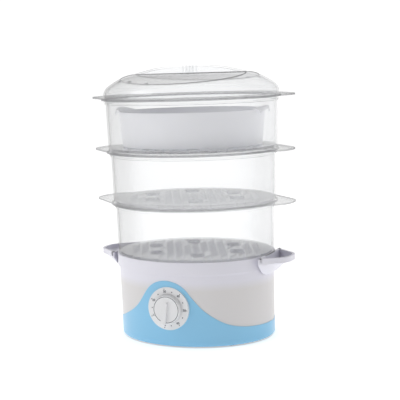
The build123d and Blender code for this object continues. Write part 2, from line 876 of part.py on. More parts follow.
def make_dial_bezel():
    """Round face plate of the timer with a sleeve that passes through the walls."""
    body = dial_rod(bezel_radius, bezel_face, bay_depth)
    front_edges = body.edges().group_by(Axis.Y)[0]
    body = at_dial(chamfer(front_edges, bezel_edge))
    body -= base_tub(-skirt_proud - fit_gap, 0, base_rim_height)
    body += at_dial(dial_rod(sleeve_radius, bezel_back, plate_depth + fit_gap))
    return body - at_dial(dial_rod(shaft_radius + 2 * fit_gap, bezel_face, bay_depth))


def make_dial_marks():
    """Seven raised ticks on the bezel, one for every ten minutes."""
    marks = Part()
    for index in range(mark_count):
        angle = pointer_angle - index * mark_step
        tick = Box(mark_length, mark_height, mark_width)
        face_y = -bezel_face - mark_height / 2
        marks += Pos(0, face_y, dial_height) * Rot(0, -angle, 0) * Pos(mark_radius, 0, 0) * tick
    return marks


def make_timer_knob():
    """Round knob with a pointer grip that widens towards its tip."""
    back = bezel_face + knob_gap
    body = dial_rod(knob_radius, knob_face, back)
    body = fillet(body.edges().group_by(Axis.Y)[0], knob_edge)
    tail = pointer_tail_width / 2
    tip = pointer_tip_width / 2
    outline = Polyline(
        (-pointer_tail, -tail), (pointer_reach, -tip), (pointer_reach, tip), (-pointer_tail, tail),
        close=True,
    )
    grip = extrude(Rot(0, 0, pointer_angle) * make_face(outline), pointer_height + knob_height / 2)
    body += Pos(0, -knob_face + knob_height / 2, dial_height) * (Plane.XZ * grip)
    return body - dial_rod(shaft_radius, shaft_tip, bay_depth)


def make_timer_shaft():
    """Shaft from the knob through the timer."""
    return dial_rod(shaft_radius, shaft_tip, case_back + case_wall)


def make_timer_cam():
    """Notched cam that opens the contacts at zero."""
    front = case_front - cam_offset
    body = dial_rod(cam_radius, front, front - cam_thickness)
    notch_reach = cam_radius - cam_thickness / 2
    notch = Box(cam_thickness, 2 * cam_thickness, cam_thickness)
    notch = Pos(notch_reach, -front + cam_thickness / 2, dial_height) * notch
    return body - notch - dial_rod(shaft_radius, front, front - cam_thickness)


def make_spring_barrel():
    """Barrel of the mainspring on the shaft."""
    front = case_front - cam_offset - 2 * cam_thickness
    body = dial_rod(barrel_radius, front, front - barrel_thickness)
    return body - dial_rod(shaft_radius, front, front - barrel_thickness)


def make_timer_plate():
    """Front plate of the timer with two ears for its screws."""
    half = plate_width / 2
    low = dial_height - plate_height / 2
    body = slab(-half, half, -plate_depth, -case_front, low, low + plate_height)
    body -= dial_rod(shaft_radius + running_gap, plate_depth, case_front)
    for side in (-1, 1):
        body -= dial_rod(screw_radius + running_gap, plate_depth, case_front, side * plate_screw_offset)
    return body


def make_timer_case():
    """Box of the timer, open towards its front plate."""
    half = case_size / 2
    inner = half - case_wall
    middle = dial_height
    body = slab(-half, half, -case_front, -case_back, middle - half, middle + half)
    body -= slab(-inner, inner, -case_front, -case_back - case_wall, middle - inner, middle + inner)
    return body - dial_rod(shaft_radius + running_gap, case_front, case_back)


def make_timer_screws():
    """Screws through the ears of the timer plate."""
    screws = Part()
    for side in (-1, 1):
        x = side * plate_screw_offset
        screws += dial_rod(screw_head_radius, case_front, case_front - screw_head_height, x)
        screws += dial_rod(screw_radius, case_front + plate_screw_length, case_front, x)
    return screws


def make_timer_switch():
    """Contact block beside the cam."""
    width, depth, height = switch_size
    outer = case_size / 2 - case_wall
    front = case_front - cam_offset + (depth - cam_thickness) / 2
    half = height / 2
    return slab(outer - width, outer, -front, -front + depth, dial_height - half, dial_height + half)


def make_timer_bell():
    """Bell cup behind the case, on its post."""
    front = case_back
    body = dial_rod(bell_radius, front - bell_wall, front - bell_wall - bell_depth)
    body -= dial_rod(bell_radius - bell_wall, front - bell_wall, front - bell_depth)
    return body + dial_rod(bell_post_radius, front, front - bell_depth)


# ---------------------------------------------------------------------------
# Mains entry and wiring
# ---------------------------------------------------------------------------

def make_cord_gland():
    """Flanged bush in the rear wall."""
    wall_outside = base_half(gland_height) - plan_difference + skirt_proud
    inside = wall_outside - tank_wall - skirt_proud - gland_flange
    start = -wall_outside - gland_flange
    body = dial_rod(gland_radius, -inside, start, 0, gland_height)
    body += dial_rod(gland_flange_radius, start + gland_flange - 3 * fit_gap, start, 0, gland_height)
    return body - dial_rod(gland_bore_radius, cut_margin, start, 0, gland_height)


def block_level():
    """Underside of the terminal block."""
    return tank_foot_z + block_standoff


def make_terminal_block():
    """Terminal block on a foot that stands on the bottom cover."""
    width, depth, height = block_size
    x, y = block_offset
    low = block_level()
    body = slab(x - width / 2, x + width / 2, y - depth / 2, y + depth / 2, low, low + height)
    return body + slab(x - width / 4, x + width / 4, y - depth / 4, y + depth / 4, tank_foot_z, low)


def wire(points):
    """Insulated wire with a round bend at each corner."""
    path = FilletPolyline(*points, radius=wire_bend)
    return sweep(Plane(origin=path @ 0, z_dir=path % 0) * Circle(wire_radius), path)


def make_inner_wires():
    """Wires from the terminal block to the timer, the thermostat and the element."""
    block_front = block_offset[1] - block_size[1] / 2
    mid_z = block_level() + block_size[2] / 2
    low_z = block_level() + wire_bend
    case_low = dial_height - case_size / 2
    timer_y = -(case_front + case_back) / 2
    blade_x = thermostat_radius / 2
    blade_z = heater_top_under() - thermostat_height - blade_length
    leg_x, leg_y = element_leg_place()
    leg_z = heater_top_under() - element_thickness / 2 - element_leg_length
    feed_x = block_size[0] / 3
    feed = wire([(feed_x, block_front, mid_z), (feed_x, timer_y, mid_z), (feed_x, timer_y, case_low)])
    stat = wire([(-blade_x, block_front, mid_z), (-blade_x, 0, mid_z), (-blade_x, 0, blade_z)])
    back = wire([
        (-leg_x, leg_y, leg_z), (-leg_x, leg_y, low_z),
        (-leg_x, timer_y, low_z), (-leg_x, timer_y, case_low),
    ])
    return Part() + [feed, stat, back]


# ---------------------------------------------------------------------------
# Write one STEP file for each node
# ---------------------------------------------------------------------------

nodes = {
    "basket_bottom": basket(
        base_rim_height, bottom_flange_z, bottom_basket_foot_half, bottom_basket_top_half,
        bottom_ear_overhang, spigot_in(base_top_half, tank_wall),
    ),
    "basket_middle": basket(
        bottom_flange_z, middle_flange_z, middle_basket_foot_half, middle_basket_top_half,
        middle_ear_overhang, spigot_in(bottom_basket_top_half, socket_wall),
    ),
    "basket_top": basket(
        middle_flange_z, top_flange_z, top_basket_foot_half, top_basket_top_half,
        top_ear_overhang, spigot_in(middle_basket_top_half, socket_wall),
    ),
    "lid": make_lid(),
    "rice_bowl": make_rice_bowl(),
    "drip_tray": make_drip_tray(),
    "steam_ring": make_steam_ring(),
    "water_tank": make_water_tank(),
    "lower_skirt": make_lower_skirt(),
    "bottom_cover": make_bottom_cover(),
    "rubber_feet": make_feet(),
    "cover_screws": make_cover_screws(),
    "heater_plate": make_heater_plate(),
    "heater_seal": make_heater_seal(),
    "heater_clamp": make_heater_clamp(),
    "heater_screws": make_heater_screws(),
    "heating_element": make_heating_element(),
    "thermostat": make_thermostat(),
    "thermal_fuse": make_thermal_fuse(),
    "dial_bezel": make_dial_bezel(),
    "dial_marks": at_dial(make_dial_marks()),
    "timer_knob": at_dial(make_timer_knob()),
    "timer_shaft": at_dial(make_timer_shaft()),
    "timer_cam": at_dial(make_timer_cam()),
    "spring_barrel": at_dial(make_spring_barrel()),
    "timer_plate": at_dial(make_timer_plate()),
    "timer_case": at_dial(make_timer_case()),
    "timer_screws": at_dial(make_timer_screws()),
    "timer_switch": at_dial(make_timer_switch()),
    "timer_bell": at_dial(make_timer_bell()),
    "cord_gland": make_cord_gland(),
    "terminal_block": make_terminal_block(),
    "inner_wires": make_inner_wires(),
}

os.makedirs("parts", exist_ok=True)
for name, shape in nodes.items():
    export_step(shape, f"parts/{name}.step")
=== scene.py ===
"""Electric food steamer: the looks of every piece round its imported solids."""

import math
from collections import namedtuple
from types import SimpleNamespace

import bmesh
import bpy
from bmesh.types import BMFace, BMVert
from bpy.props import FloatProperty, FloatVectorProperty, IntProperty, PointerProperty
from mathutils import Matrix, Vector
from mathutils.geometry import interpolate_bezier


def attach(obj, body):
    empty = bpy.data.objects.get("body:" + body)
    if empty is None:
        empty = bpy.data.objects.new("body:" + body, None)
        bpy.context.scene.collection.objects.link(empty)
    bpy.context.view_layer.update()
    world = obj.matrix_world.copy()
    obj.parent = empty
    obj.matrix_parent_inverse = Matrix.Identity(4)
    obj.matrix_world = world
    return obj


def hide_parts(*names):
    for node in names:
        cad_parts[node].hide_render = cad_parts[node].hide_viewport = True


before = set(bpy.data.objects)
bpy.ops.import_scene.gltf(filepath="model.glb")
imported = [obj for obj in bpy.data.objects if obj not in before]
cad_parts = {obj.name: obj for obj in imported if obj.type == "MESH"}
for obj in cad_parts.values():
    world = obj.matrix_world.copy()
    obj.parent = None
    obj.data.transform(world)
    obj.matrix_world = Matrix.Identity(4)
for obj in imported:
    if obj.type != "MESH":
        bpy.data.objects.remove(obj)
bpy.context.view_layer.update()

bl_info = {
    "name": "Food steamer",
    "version": (1, 0, 0),
    "blender": (4, 5, 0),
    "location": "3D View > Sidebar > Steamer",
    "description": "Builds a stacked electric food steamer round its solids",
    "category": "Object",
}

# Millimetres in a metre, and points round the ovals of the pieces and of the base.
METRE = 1000.0
RING_POINTS = 192
BASE_POINTS = 320
# How much closer together the points of an oval lie at both ends.
END_FINENESS = 0.6
# Rounding of a blunt corner: its width as a share of the corner's radius, and its steps.
CORNER_SHARE = 0.8
CORNER_STEPS = 12
# Turns a flat shape so that it faces the front.
UPRIGHT = Matrix.Rotation(math.pi / 2, 4, "X")
# Places of the finishes in the list of a basket, of the lid and of the knob.
PLAIN, EDGE, FLOOR, PLATE, SLOT = range(5)
CREASE = 2
# The knob's second finish is painted shadow: a dark ring that stands for the gap round the knob.
GAP_SHADOW = 1

# Half lengths of each basket's wall at its foot and its top, and the tips of its ears.
Tier = namedtuple("Tier", "name foot top reach")
TIERS = (
    Tier("bottom", 119.1, 121.7, 158.0),
    Tier("middle", 123.2, 125.9, 158.8),
    Tier("top", 127.6, 130.8, 160.2),
)


# --- Sizes and colours ---

def length(name, description, millimetres):
    """A size that is shown in the user's own unit."""
    return FloatProperty(
        name=name, description=description, default=millimetres / METRE,
        precision=4, unit="LENGTH", subtype="DISTANCE",
    )


def rotation(name, description, degrees):
    """An angle that is shown in the user's own unit."""
    return FloatProperty(
        name=name, description=description, default=math.radians(degrees),
        unit="ROTATION", subtype="ANGLE",
    )


def number(name, description, default):
    """A plain number."""
    return FloatProperty(name=name, description=description, default=default)


def colour(name, description, red, green, blue):
    """A colour swatch."""
    return FloatVectorProperty(
        name=name, description=description, default=(red, green, blue),
        size=3, min=0.0, max=1.0, subtype="COLOR",
    )


class StackSizes(bpy.types.PropertyGroup):
    """Plan of the walls and gaps between the stacked pieces."""

    plan_difference: length("Plan difference", "Half length less half depth of every oval", 21.0)
    seat_gap: length("Seat gap", "Gap under each stacked piece", 0.05)
    slide_gap: length("Slide gap", "Gap round each locating ring", 0.6)
    rim_height: length("Rim height", "Height of the top of the base", 124.5)
    bottom_flange: length("Bottom flange", "Height of the flange of the bottom basket", 203.2)
    middle_flange: length("Middle flange", "Height of the flange of the middle basket", 279.2)
    top_flange: length("Top flange", "Height of the flange of the top basket", 356.7)
    base_foot_half: length("Base foot", "Half length of the base at the table", 116.7)
    base_top_half: length("Base top", "Half length of the base at its rim", 118.8)


class BasketSizes(bpy.types.PropertyGroup):
    """Walls, flange and floor of the baskets."""

    wall: length("Wall", "Thickness of a basket wall", 2.2)
    floor: length("Floor", "Thickness of a basket floor", 3.0)
    socket_depth: length("Socket depth", "Depth of the socket under the flange", 8.0)
    socket_wall: length("Socket wall", "Thickness of the wall of the socket", 2.0)
    socket_step: length("Socket step", "How far the socket stands out from the wall", 1.6)
    socket_ledge: length("Socket ledge", "Thickness of the ledge in the socket", 2.0)
    spigot_depth: length("Spigot depth", "Depth of the ring that locates the basket", 6.0)
    flange: length("Flange", "Thickness of the flange", 2.2)
    lip: length("Lip", "Thickness of the turned-down edge", 1.8)
    lip_inset: length("Lip inset", "How far the turned-down edge lies inside the flange", 0.5)
    drop: length("Drop", "Height of the turned-down edge", 4.8)
    end_overhang: length("End overhang", "Flange beyond the wall at the ends", 4.2)
    side_overhang: length("Side overhang", "Flange beyond the wall at the front", 9.2)
    ear_width: length("Ear width", "Width of the lifting ears at their tips", 42.0)
    ear_corner: length("Ear corner", "Corner radius of the ears", 18.0)
    ear_turn: rotation("Ear turn", "Turn of the ears about the middle", -4.5)
    slot_pitch: length("Slot pitch", "Distance between rows of steam slots", 7.0)
    slot_width: length("Slot width", "Width of a steam slot", 3.0)
    slot_length: length("Slot length", "Length of a steam slot", 24.0)
    slot_bridge: length("Slot bridge", "Plastic between slots in one row", 6.0)
    slot_margin: length("Slot margin", "Solid edge round the slots", 7.0)
    well_radius: length("Well radius", "Radius of an egg well", 9.0)
    well_collar: length("Well collar", "Thickness of the collar of an egg well", 1.6)
    well_rise: length("Well rise", "Height of the collar of an egg well", 1.5)
    well_share: number("Well spread", "Place of the wells as a share of the floor", 0.62)
    rounding: length("Rounding", "Rounding of the edges of a basket", 0.45)
    well_turn: rotation("Well turn", "Turn of the ring of wells", -9.0)
    well_count: IntProperty(name="Wells", description="Egg wells in a floor", default=6, min=1)


class LidSizes(bpy.types.PropertyGroup):
    """Dome, grip ridge and vents of the lid."""

    wall: length("Wall", "Thickness of the lid", 2.2)
    foot_half: length("Foot", "Half length of the lid", 131.8)
    side_height: length("Side", "Height of the upright side", 5.3)
    crest: length("Crest", "Height of the top of the lid", 400.0)
    ridge: length("Ridge", "Width of the grip ridge", 16.0)
    facet_drop: length("Facet drop", "Height of the face of the ridge", 12.0)
    facet_fall: number("Facet fall", "Slope of the facets beside the ridge", 0.1364)
    rib_pitch: length("Rib pitch", "Distance between the grip ribs", 5.0)
    rib_width: length("Rib width", "Width of a grip rib", 2.0)
    rib_rise: length("Rib rise", "Height of a grip rib", 0.8)
    rib_foot: length("Rib foot", "Length of a rib along the facet", 6.0)
    rib_count: IntProperty(name="Ribs", description="Grip ribs on each face", default=4, min=1)
    vent_radius: length("Vent", "Radius of a steam vent", 2.4)
    bead: length("Bead", "Radius of the bead round a facet", 0.7)


class BowlSizes(bpy.types.PropertyGroup):
    """Rice bowl."""

    foot: length("Foot height", "Height of the underside above the table", 283.8)
    height: length("Height", "Height of the bowl", 51.0)
    wall: length("Wall", "Thickness of the bowl", 2.0)
    foot_half: length("Foot", "Half length at the foot", 106.0)
    rim_half: length("Rim", "Half length at the rim", 111.0)
    ear_reach: length("Ear reach", "Tip of an ear from the middle", 121.5)
    ear_width: length("Ear width", "Width of an ear", 52.0)
    ear_rise: length("Ear rise", "Height of an ear over the rim", 6.0)
    ear_wall: length("Ear wall", "Thickness of an ear", 1.6)
    rim_round: length("Rim round", "Rounding of the rim", 0.6)
    foot_round: length("Foot round", "Rounding of the foot", 5.0)


class BaseSizes(bpy.types.PropertyGroup):
    """Water tank, filling pockets and coloured skirt."""

    wall: length("Wall", "Thickness of the tank wall", 3.2)
    foot: length("Foot", "Height of the foot of the tank wall", 7.0)
    tank_floor: length("Tank floor", "Height of the floor of the tank", 46.5)
    tray_ledge: length("Tray ledge", "Height of the ledge under the drip tray", 107.0)
    tray_step: length("Tray step", "Width of the ledge under the drip tray", 3.0)
    sheet: length("Sheet", "Thickness of the tank floor and of the tray ledge", 2.5)
    heater_hole: length("Heater hole", "Radius of the hole for the heater", 33.0)
    collar: length("Collar", "Height of the collar under the rim", 18.5)
    collar_proud: length("Collar proud", "How far the collar stands out", 2.2)
    skirt_proud: length("Skirt proud", "How far the skirt stands out", 0.6)
    skirt_clearance: length("Skirt clearance", "Gap between the skirt and the tank", 0.05)
    skirt_gap: length("Skirt gap", "Gap between the skirt and the table", 2.0)
    skirt_inset: length("Skirt inset", "How far the foot of the skirt draws in", 1.6)
    skirt_foot: length("Skirt foot", "Height of the drawn-in foot", 4.0)
    skirt_side: length("Skirt side", "Height of the skirt at the ends and the back", 24.2)
    wave_centre: length("Wave centre", "Middle of the crest of the skirt", -7.5)
    wave_radius: length("Wave radius", "Radius of the crest of the skirt", 40.0)
    pocket_reach: length("Pocket reach", "Tip of a filling pocket from the middle", 154.8)
    pocket_width: length("Pocket width", "Width of a filling pocket at its tip", 34.0)
    pocket_corner: length("Pocket corner", "Corner radius of a pocket", 15.0)
    pocket_root: length("Pocket root", "Place in the wall where a pocket starts", 116.2)
    pocket_rim: length("Pocket rim", "Height of the upright rim of a pocket", 7.5)
    pocket_turn: rotation("Pocket turn", "Turn of the pockets about the middle", -3.0)
    pocket_wall: length("Pocket wall", "Thickness of the floor of a pocket", 2.4)
    pocket_lip: length("Pocket lip", "Thickness of the rim of a pocket", 4.0)
    pocket_round: length("Pocket rounding", "Rounding of the rim of a pocket", 1.6)
    rim_round: length("Rim rounding", "Rounding of the rim and the collar", 0.6)


class DialSizes(bpy.types.PropertyGroup):
    """Timer dial and knob."""

    height: length("Height", "Height of the middle of the dial", 57.4)
    offset: length("Offset", "Place of the dial to the side of the middle", -4.0)
    face: length("Face", "Distance of the dial face in front of the middle", 98.87)
    back: length("Back", "Distance of the back of the dial plate", 88.0)
    radius: length("Radius", "Radius of the dial plate", 31.2)
    edge: length("Edge", "Rounding of the dial plate", 1.4)
    knob_radius: length("Knob radius", "Radius of the knob", 20.5)
    knob_gap: length("Knob gap", "Gap behind the knob", 0.4)
    knob_height: length("Knob height", "Thickness of the knob", 7.6)
    knob_edge: length("Knob edge", "Rounding of the knob", 1.0)
    # The dark ring on the knob is painted shadow of the gap round it.
    knob_shadow_ring: length("Knob groove", "Width of the dark ring on the knob", 0.8)
    tail: length("Tail", "Length of the grip behind the middle", 11.0)
    reach: length("Reach", "Length of the grip to its tip", 22.0)
    tail_width: length("Tail width", "Width of the grip at its tail", 2.4)
    tip_width: length("Tip width", "Width of the grip at its tip", 8.8)
    grip_height: length("Grip height", "Height of the grip on the knob", 4.0)
    grip_round: length("Grip rounding", "Rounding of the grip", 0.9)
    groove_radius: length("Groove radius", "Outer radius of the groove in the plate", 21.7)
    groove_width: length("Groove width", "Width of the groove in the plate", 0.9)
    groove_depth: length("Groove depth", "Depth of the groove in the plate", 0.7)
    bar_ring: length("Bar ring", "Radius of the ring of bars", 28.6)
    dot_radius: length("Dot radius", "Radius of a dot between two numbers", 0.8)
    number_ring: length("Number ring", "Radius of the ring of numbers", 25.0)
    number_size: length("Number size", "Height of a printed number", 4.6)
    pointer: rotation("Pointer", "Direction of the pointer at rest", -103.0)
    step: rotation("Step", "Turn from one number to the next", 52.0)


class Colours(bpy.types.PropertyGroup):
    """Colours of the pieces."""

    # Painted shade: clear plastic seen aslant is drawn grey in place of the darker edges that
    # refraction gives, in this tone at the left end, turning to the next tone at the right end.
    clear: colour("Clear plastic", "Clear baskets and lid seen aslant", 0.40, 0.39, 0.38)
    clear_far: colour("Clear plastic at the right", "The same at the right end", 0.95, 0.95, 0.95)
    floor: colour("Clear floor", "Slotted floors of the baskets", 0.78, 0.78, 0.79)
    # Painted shade: the creases round the grip ridge are drawn as lines that are light at the left
    # end and dark at the right end, in place of the dark edges that refraction gives.
    crease: colour("Lid creases", "Folds round the grip ridge, at the left end", 0.72, 0.72, 0.73)
    crease_far: colour("Lid creases at the right", "The same at the right end", 0.05, 0.05, 0.05)
    slot: colour("Slot walls", "Walls of the steam slots", 0.95, 0.95, 0.96)
    # Painted shade: the rims of the clear pieces are drawn dark in place of the dark lines that
    # refraction gives there.
    edge: colour("Clear edge", "Rims of the clear baskets and lid", 0.27, 0.27, 0.28)
    bowl: colour("Bowl", "Rice bowl", 0.92, 0.92, 0.95)
    milky: colour("Milky plastic", "Upper part of the base", 0.80, 0.79, 0.86)
    # The tank turns to this darker, warmer tone towards its bottom.
    milky_low: colour("Lower milky plastic", "Tank wall over the skirt", 0.74, 0.72, 0.72)
    blue: colour("Blue plastic", "Skirt of the base", 0.27, 0.60, 0.86)
    white: colour("White plastic", "Dial and knob", 0.86, 0.86, 0.87)
    # The ink also colours the dark ring on the knob, a painted shadow of the gap round it.
    ink: colour("Ink", "Marks and numbers", 0.07, 0.08, 0.10)
    grey: colour("Grey plastic", "Inner parts", 0.30, 0.31, 0.32)
    black: colour("Black plastic", "Bottom cover and bush", 0.03, 0.03, 0.035)
    rubber: colour("Rubber", "Feet", 0.05, 0.05, 0.05)
    seal: colour("Seal", "Heater seal", 0.45, 0.10, 0.06)
    steel: colour("Steel", "Screws and timer parts", 0.45, 0.45, 0.46)
    stainless: colour("Stainless steel", "Heater plate", 0.62, 0.61, 0.60)
    brass: colour("Brass", "Shaft and terminals", 0.62, 0.44, 0.18)
    wire: colour("Wire cover", "Inner wires", 0.75, 0.72, 0.62)


class Studio(bpy.types.PropertyGroup):
    """Camera, floor and lights."""

    camera_distance: length("Camera distance", "Distance of the camera along the floor", 1584.7)
    camera_height: length("Camera height", "Height of the camera", 413.1)
    camera_turn: rotation("Camera turn", "Direction of the camera round the steamer", 23.09)
    camera_yaw: rotation("Camera yaw", "Turn of the camera to its right", 0.311)
    camera_pitch: rotation("Camera pitch", "How far the camera looks down", 7.66)
    camera_roll: rotation("Camera roll", "Roll of the camera", -1.954)
    lens: FloatProperty(name="Lens", description="Focal length", default=96.6, unit="CAMERA")
    world: number("Surrounding light", "Strength of the room", 0.50)
    key: number("Key light", "Power of the main light", 15.0)
    rim: number("Rim light", "Power of the light on the right", 5.0)
    floor: colour("Floor", "Colour of the floor", 0.93, 0.93, 0.93)


GROUPS = {
    "stack": StackSizes,
    "basket": BasketSizes,
    "lid": LidSizes,
    "bowl": BowlSizes,
    "base": BaseSizes,
    "dial": DialSizes,
    "colours": Colours,
    "studio": Studio,
}


def sizes(context, key):
    """The values of one group, with lengths in millimetres."""
    group = getattr(context.scene, "steamer_" + key)
    values = {}
    for name, rule in group.bl_rna.properties.items():
        if name in {"rna_type", "name"}:
            continue
        value = getattr(group, name)
        is_length = rule.type == "FLOAT" and rule.unit == "LENGTH"
        values[name] = value * METRE if is_length else value
    return SimpleNamespace(**values)


# --- Shader maths and finishes ---

class Level:
    """An output in a shader tree that takes part in sums."""

    def __init__(self, paint, output):
        self.paint = paint
        self.output = output

    def __add__(self, other):
        return self.paint.maths("ADD", self, other)

    def __sub__(self, other):
        return self.paint.maths("SUBTRACT", self, other)

    def __rsub__(self, other):
        return self.paint.maths("SUBTRACT", other, self)

    def __mul__(self, other):
        return self.paint.maths("MULTIPLY", self, other)

    def __pow__(self, other):
        return self.paint.maths("POWER", self, other)

    __radd__ = __add__
    __rmul__ = __mul__


class Paint:
    """The shader tree of one finish."""

    def __init__(self, name, block=None):
        self.block = block or bpy.data.materials.new(name)
        self.block.use_nodes = True
        self.tree = self.block.node_tree
        self.tree.nodes.clear()

    def node(self, kind, inputs=None, output=0, **settings):
        """Adds a node: its settings first, then the values or links of its sockets."""
        made = self.tree.nodes.new(kind)
        for key, value in settings.items():
            setattr(made, key, value)
        for key, value in (inputs or {}).items():
            if isinstance(value, Level):
                self.tree.links.new(value.output, made.inputs[key])
            else:
                made.inputs[key].default_value = value
        return Level(self, made.outputs[output])

    def maths(self, operation, first, second=0.0, clamp=False, third=0.0):
        """A Math node."""
        inputs = {0: first, 1: second, 2: third}
        return self.node("ShaderNodeMath", inputs, operation=operation, use_clamp=clamp)

    def place(self):
        """Place on the piece, in metres."""
        return self.node("ShaderNodeTexCoord", output="Object")

    def axis(self, name, vector=None):
        """One coordinate of a vector, or of the place on the piece."""
        return self.node("ShaderNodeSeparateXYZ", {"Vector": vector or self.place()}, name)

    def noise(self, scale, detail=2.0, roughness=0.5, vector=None):
        """Soft cloudy pattern fixed to the piece."""
        inputs = {"Scale": scale, "Detail": detail, "Roughness": roughness}
        return self.node("ShaderNodeTexNoise", {"Vector": vector or self.place(), **inputs}, "Fac")

    def bump(self, height, strength, distance):
        """Surface normal that follows fine relief."""
        inputs = {"Height": height, "Strength": strength, "Distance": distance}
        return self.node("ShaderNodeBump", inputs)

    def tint(self, amount, low, high):
        """Blend of two colours, each plain or the output of a node."""
        low, high = (tone if isinstance(tone, Level) else (*tone, 1.0) for tone in (low, high))
        return self.node("ShaderNodeMix", {"Factor": amount, 6: low, 7: high}, 2, data_type="RGBA")

    def finish(self, surface):
        """Joins the surface to the output."""
        is_world = isinstance(self.block, bpy.types.World)
        kind = "ShaderNodeOutputWorld" if is_world else "ShaderNodeOutputMaterial"
        end = self.tree.nodes.new(kind)
        self.tree.links.new(surface.output, end.inputs["Surface"])
        return self.block


# Height on the tank, in metres, over which its tone turns darker towards the bottom, and how fast
# it does.
TONE_HEIGHT = 0.082
TONE_RISE = 80.0
# Left end of the clear pieces, in metres, and the share of the right tone gained in a metre:
# painted shade that carries the tone of the clear pieces from the left end to the right.
LEFT_END = -0.13
PAINTED_SHADE_RUN = 3.85
# How a clear finish changes towards a grazing view: where its veil starts and is full, how
# steeply its edge and its sheen rise, and the least sheen. The grey veil and edge are painted
# shade in place of the darker edges that refraction gives.
VEIL_START = 0.08
VEIL_FULL = 0.45
EDGE_POWER = 7.0
SHEEN_POWER = 5.0
LEAST_SHEEN = 0.02
SHEEN_TONE = (0.9, 0.9, 0.91, 1.0)
OPEN_TONE = (0.986, 0.988, 0.99, 1.0)


def shade(base, factor):
    """A colour made lighter or darker."""
    return tuple(min(1.0, channel * factor) for channel in base)


def moulded(name, base, rough, grain, relief, mottle=0.03, depth=0.0, coat=0.0, low=None):
    """Moulded plastic: faint colour drift, fine surface grain and uneven gloss, and a low tone that
    it turns to towards the bottom where one is given.
    """
    paint = Paint(name)
    tone = paint.tint(paint.noise(14.0, 3.0), shade(base, 1 - mottle), shade(base, 1 + mottle))
    if low:
        upward = paint.maths("MULTIPLY", paint.axis("Z") - TONE_HEIGHT, TONE_RISE, True)
        tone = paint.tint(upward, low, tone)
    return paint.finish(paint.node("ShaderNodeBsdfPrincipled", {
        "Base Color": tone,
        "Roughness": rough * (0.85 + 0.3 * paint.noise(55.0, 4.0, 0.6)),
        "Subsurface Weight": depth,
        "Subsurface Radius": (0.004, 0.004, 0.005),
        "Subsurface Scale": 1.0,
        "Coat Weight": coat,
        "Coat Roughness": 0.12,
        "Normal": paint.bump(paint.noise(grain, 3.0, 0.6), relief, 0.0002),
    }))


def clear_plastic(name, base, face_on, veil, edge, gloss_edge=0.12, far=None):
    """Clear moulded plastic that turns glossier where it is seen aslant, with a painted grey veil
    there in place of the darker edges that refraction gives; with a right tone it also carries
    painted shade from the left end to the right.
    """
    paint = Paint(name)
    grazing = paint.node("ShaderNodeLayerWeight", {"Blend": 0.5}, "Facing")
    ripple = paint.noise(30.0, 2.0)
    bump = paint.bump(ripple, 0.25, 0.0004)
    tone = paint.tint(ripple, shade(base, 0.97), shade(base, 1.03))
    # Painted shade: the tone changes from the left end of the piece to the right, the same from
    # every side.
    if far:
        share = paint.maths("MULTIPLY", paint.axis("X") - LEFT_END, PAINTED_SHADE_RUN, True)
        tone = paint.tint(share, tone, far)
    shoulder = paint.node("ShaderNodeMapRange", {
        "Value": grazing, "From Min": VEIL_START, "From Max": VEIL_FULL,
        "To Min": 0.0, "To Max": veil,
    }, interpolation_type="SMOOTHSTEP")
    body = paint.node("ShaderNodeBsdfPrincipled", {
        "Base Color": tone, "Roughness": 0.5, "Specular IOR Level": 0.0, "Normal": bump,
    })
    gloss = paint.node("ShaderNodeBsdfPrincipled", {
        "Base Color": SHEEN_TONE,
        "Roughness": 0.08 + 0.08 * paint.noise(70.0, 4.0, 0.65),
        "Metallic": 1.0, "Normal": bump,
    })
    open_view = paint.node("ShaderNodeBsdfTransparent", {"Color": OPEN_TONE})
    # The grey body shows more towards a grazing view: a painted veil and edge in place of the
    # darker edges that refraction gives.
    amount = face_on + shoulder + edge * grazing ** EDGE_POWER
    veiled = paint.node("ShaderNodeMixShader", {0: amount, 1: open_view, 2: body})
    sheen = grazing ** SHEEN_POWER
    sheen = paint.maths("MULTIPLY_ADD", sheen, gloss_edge, True, LEAST_SHEEN)
    return paint.finish(paint.node("ShaderNodeMixShader", {0: sheen, 1: veiled, 2: gloss}))


def metal(name, base, rough, brushed):
    """Bare metal with fine brushing and slight tarnish."""
    paint = Paint(name)
    inputs = {"Vector": paint.place(), "Scale": (1.0, brushed, brushed)}
    lines = paint.noise(220.0, 4.0, vector=paint.node("ShaderNodeMapping", inputs))
    return paint.finish(paint.node("ShaderNodeBsdfPrincipled", {
        "Base Color": paint.tint(paint.noise(60.0, 3.0), shade(base, 0.85), shade(base, 1.1)),
        "Metallic": 1.0,
        "Roughness": rough * (0.7 + 0.6 * lines),
        "Normal": paint.bump(lines, 0.2, 0.0001),
    }))


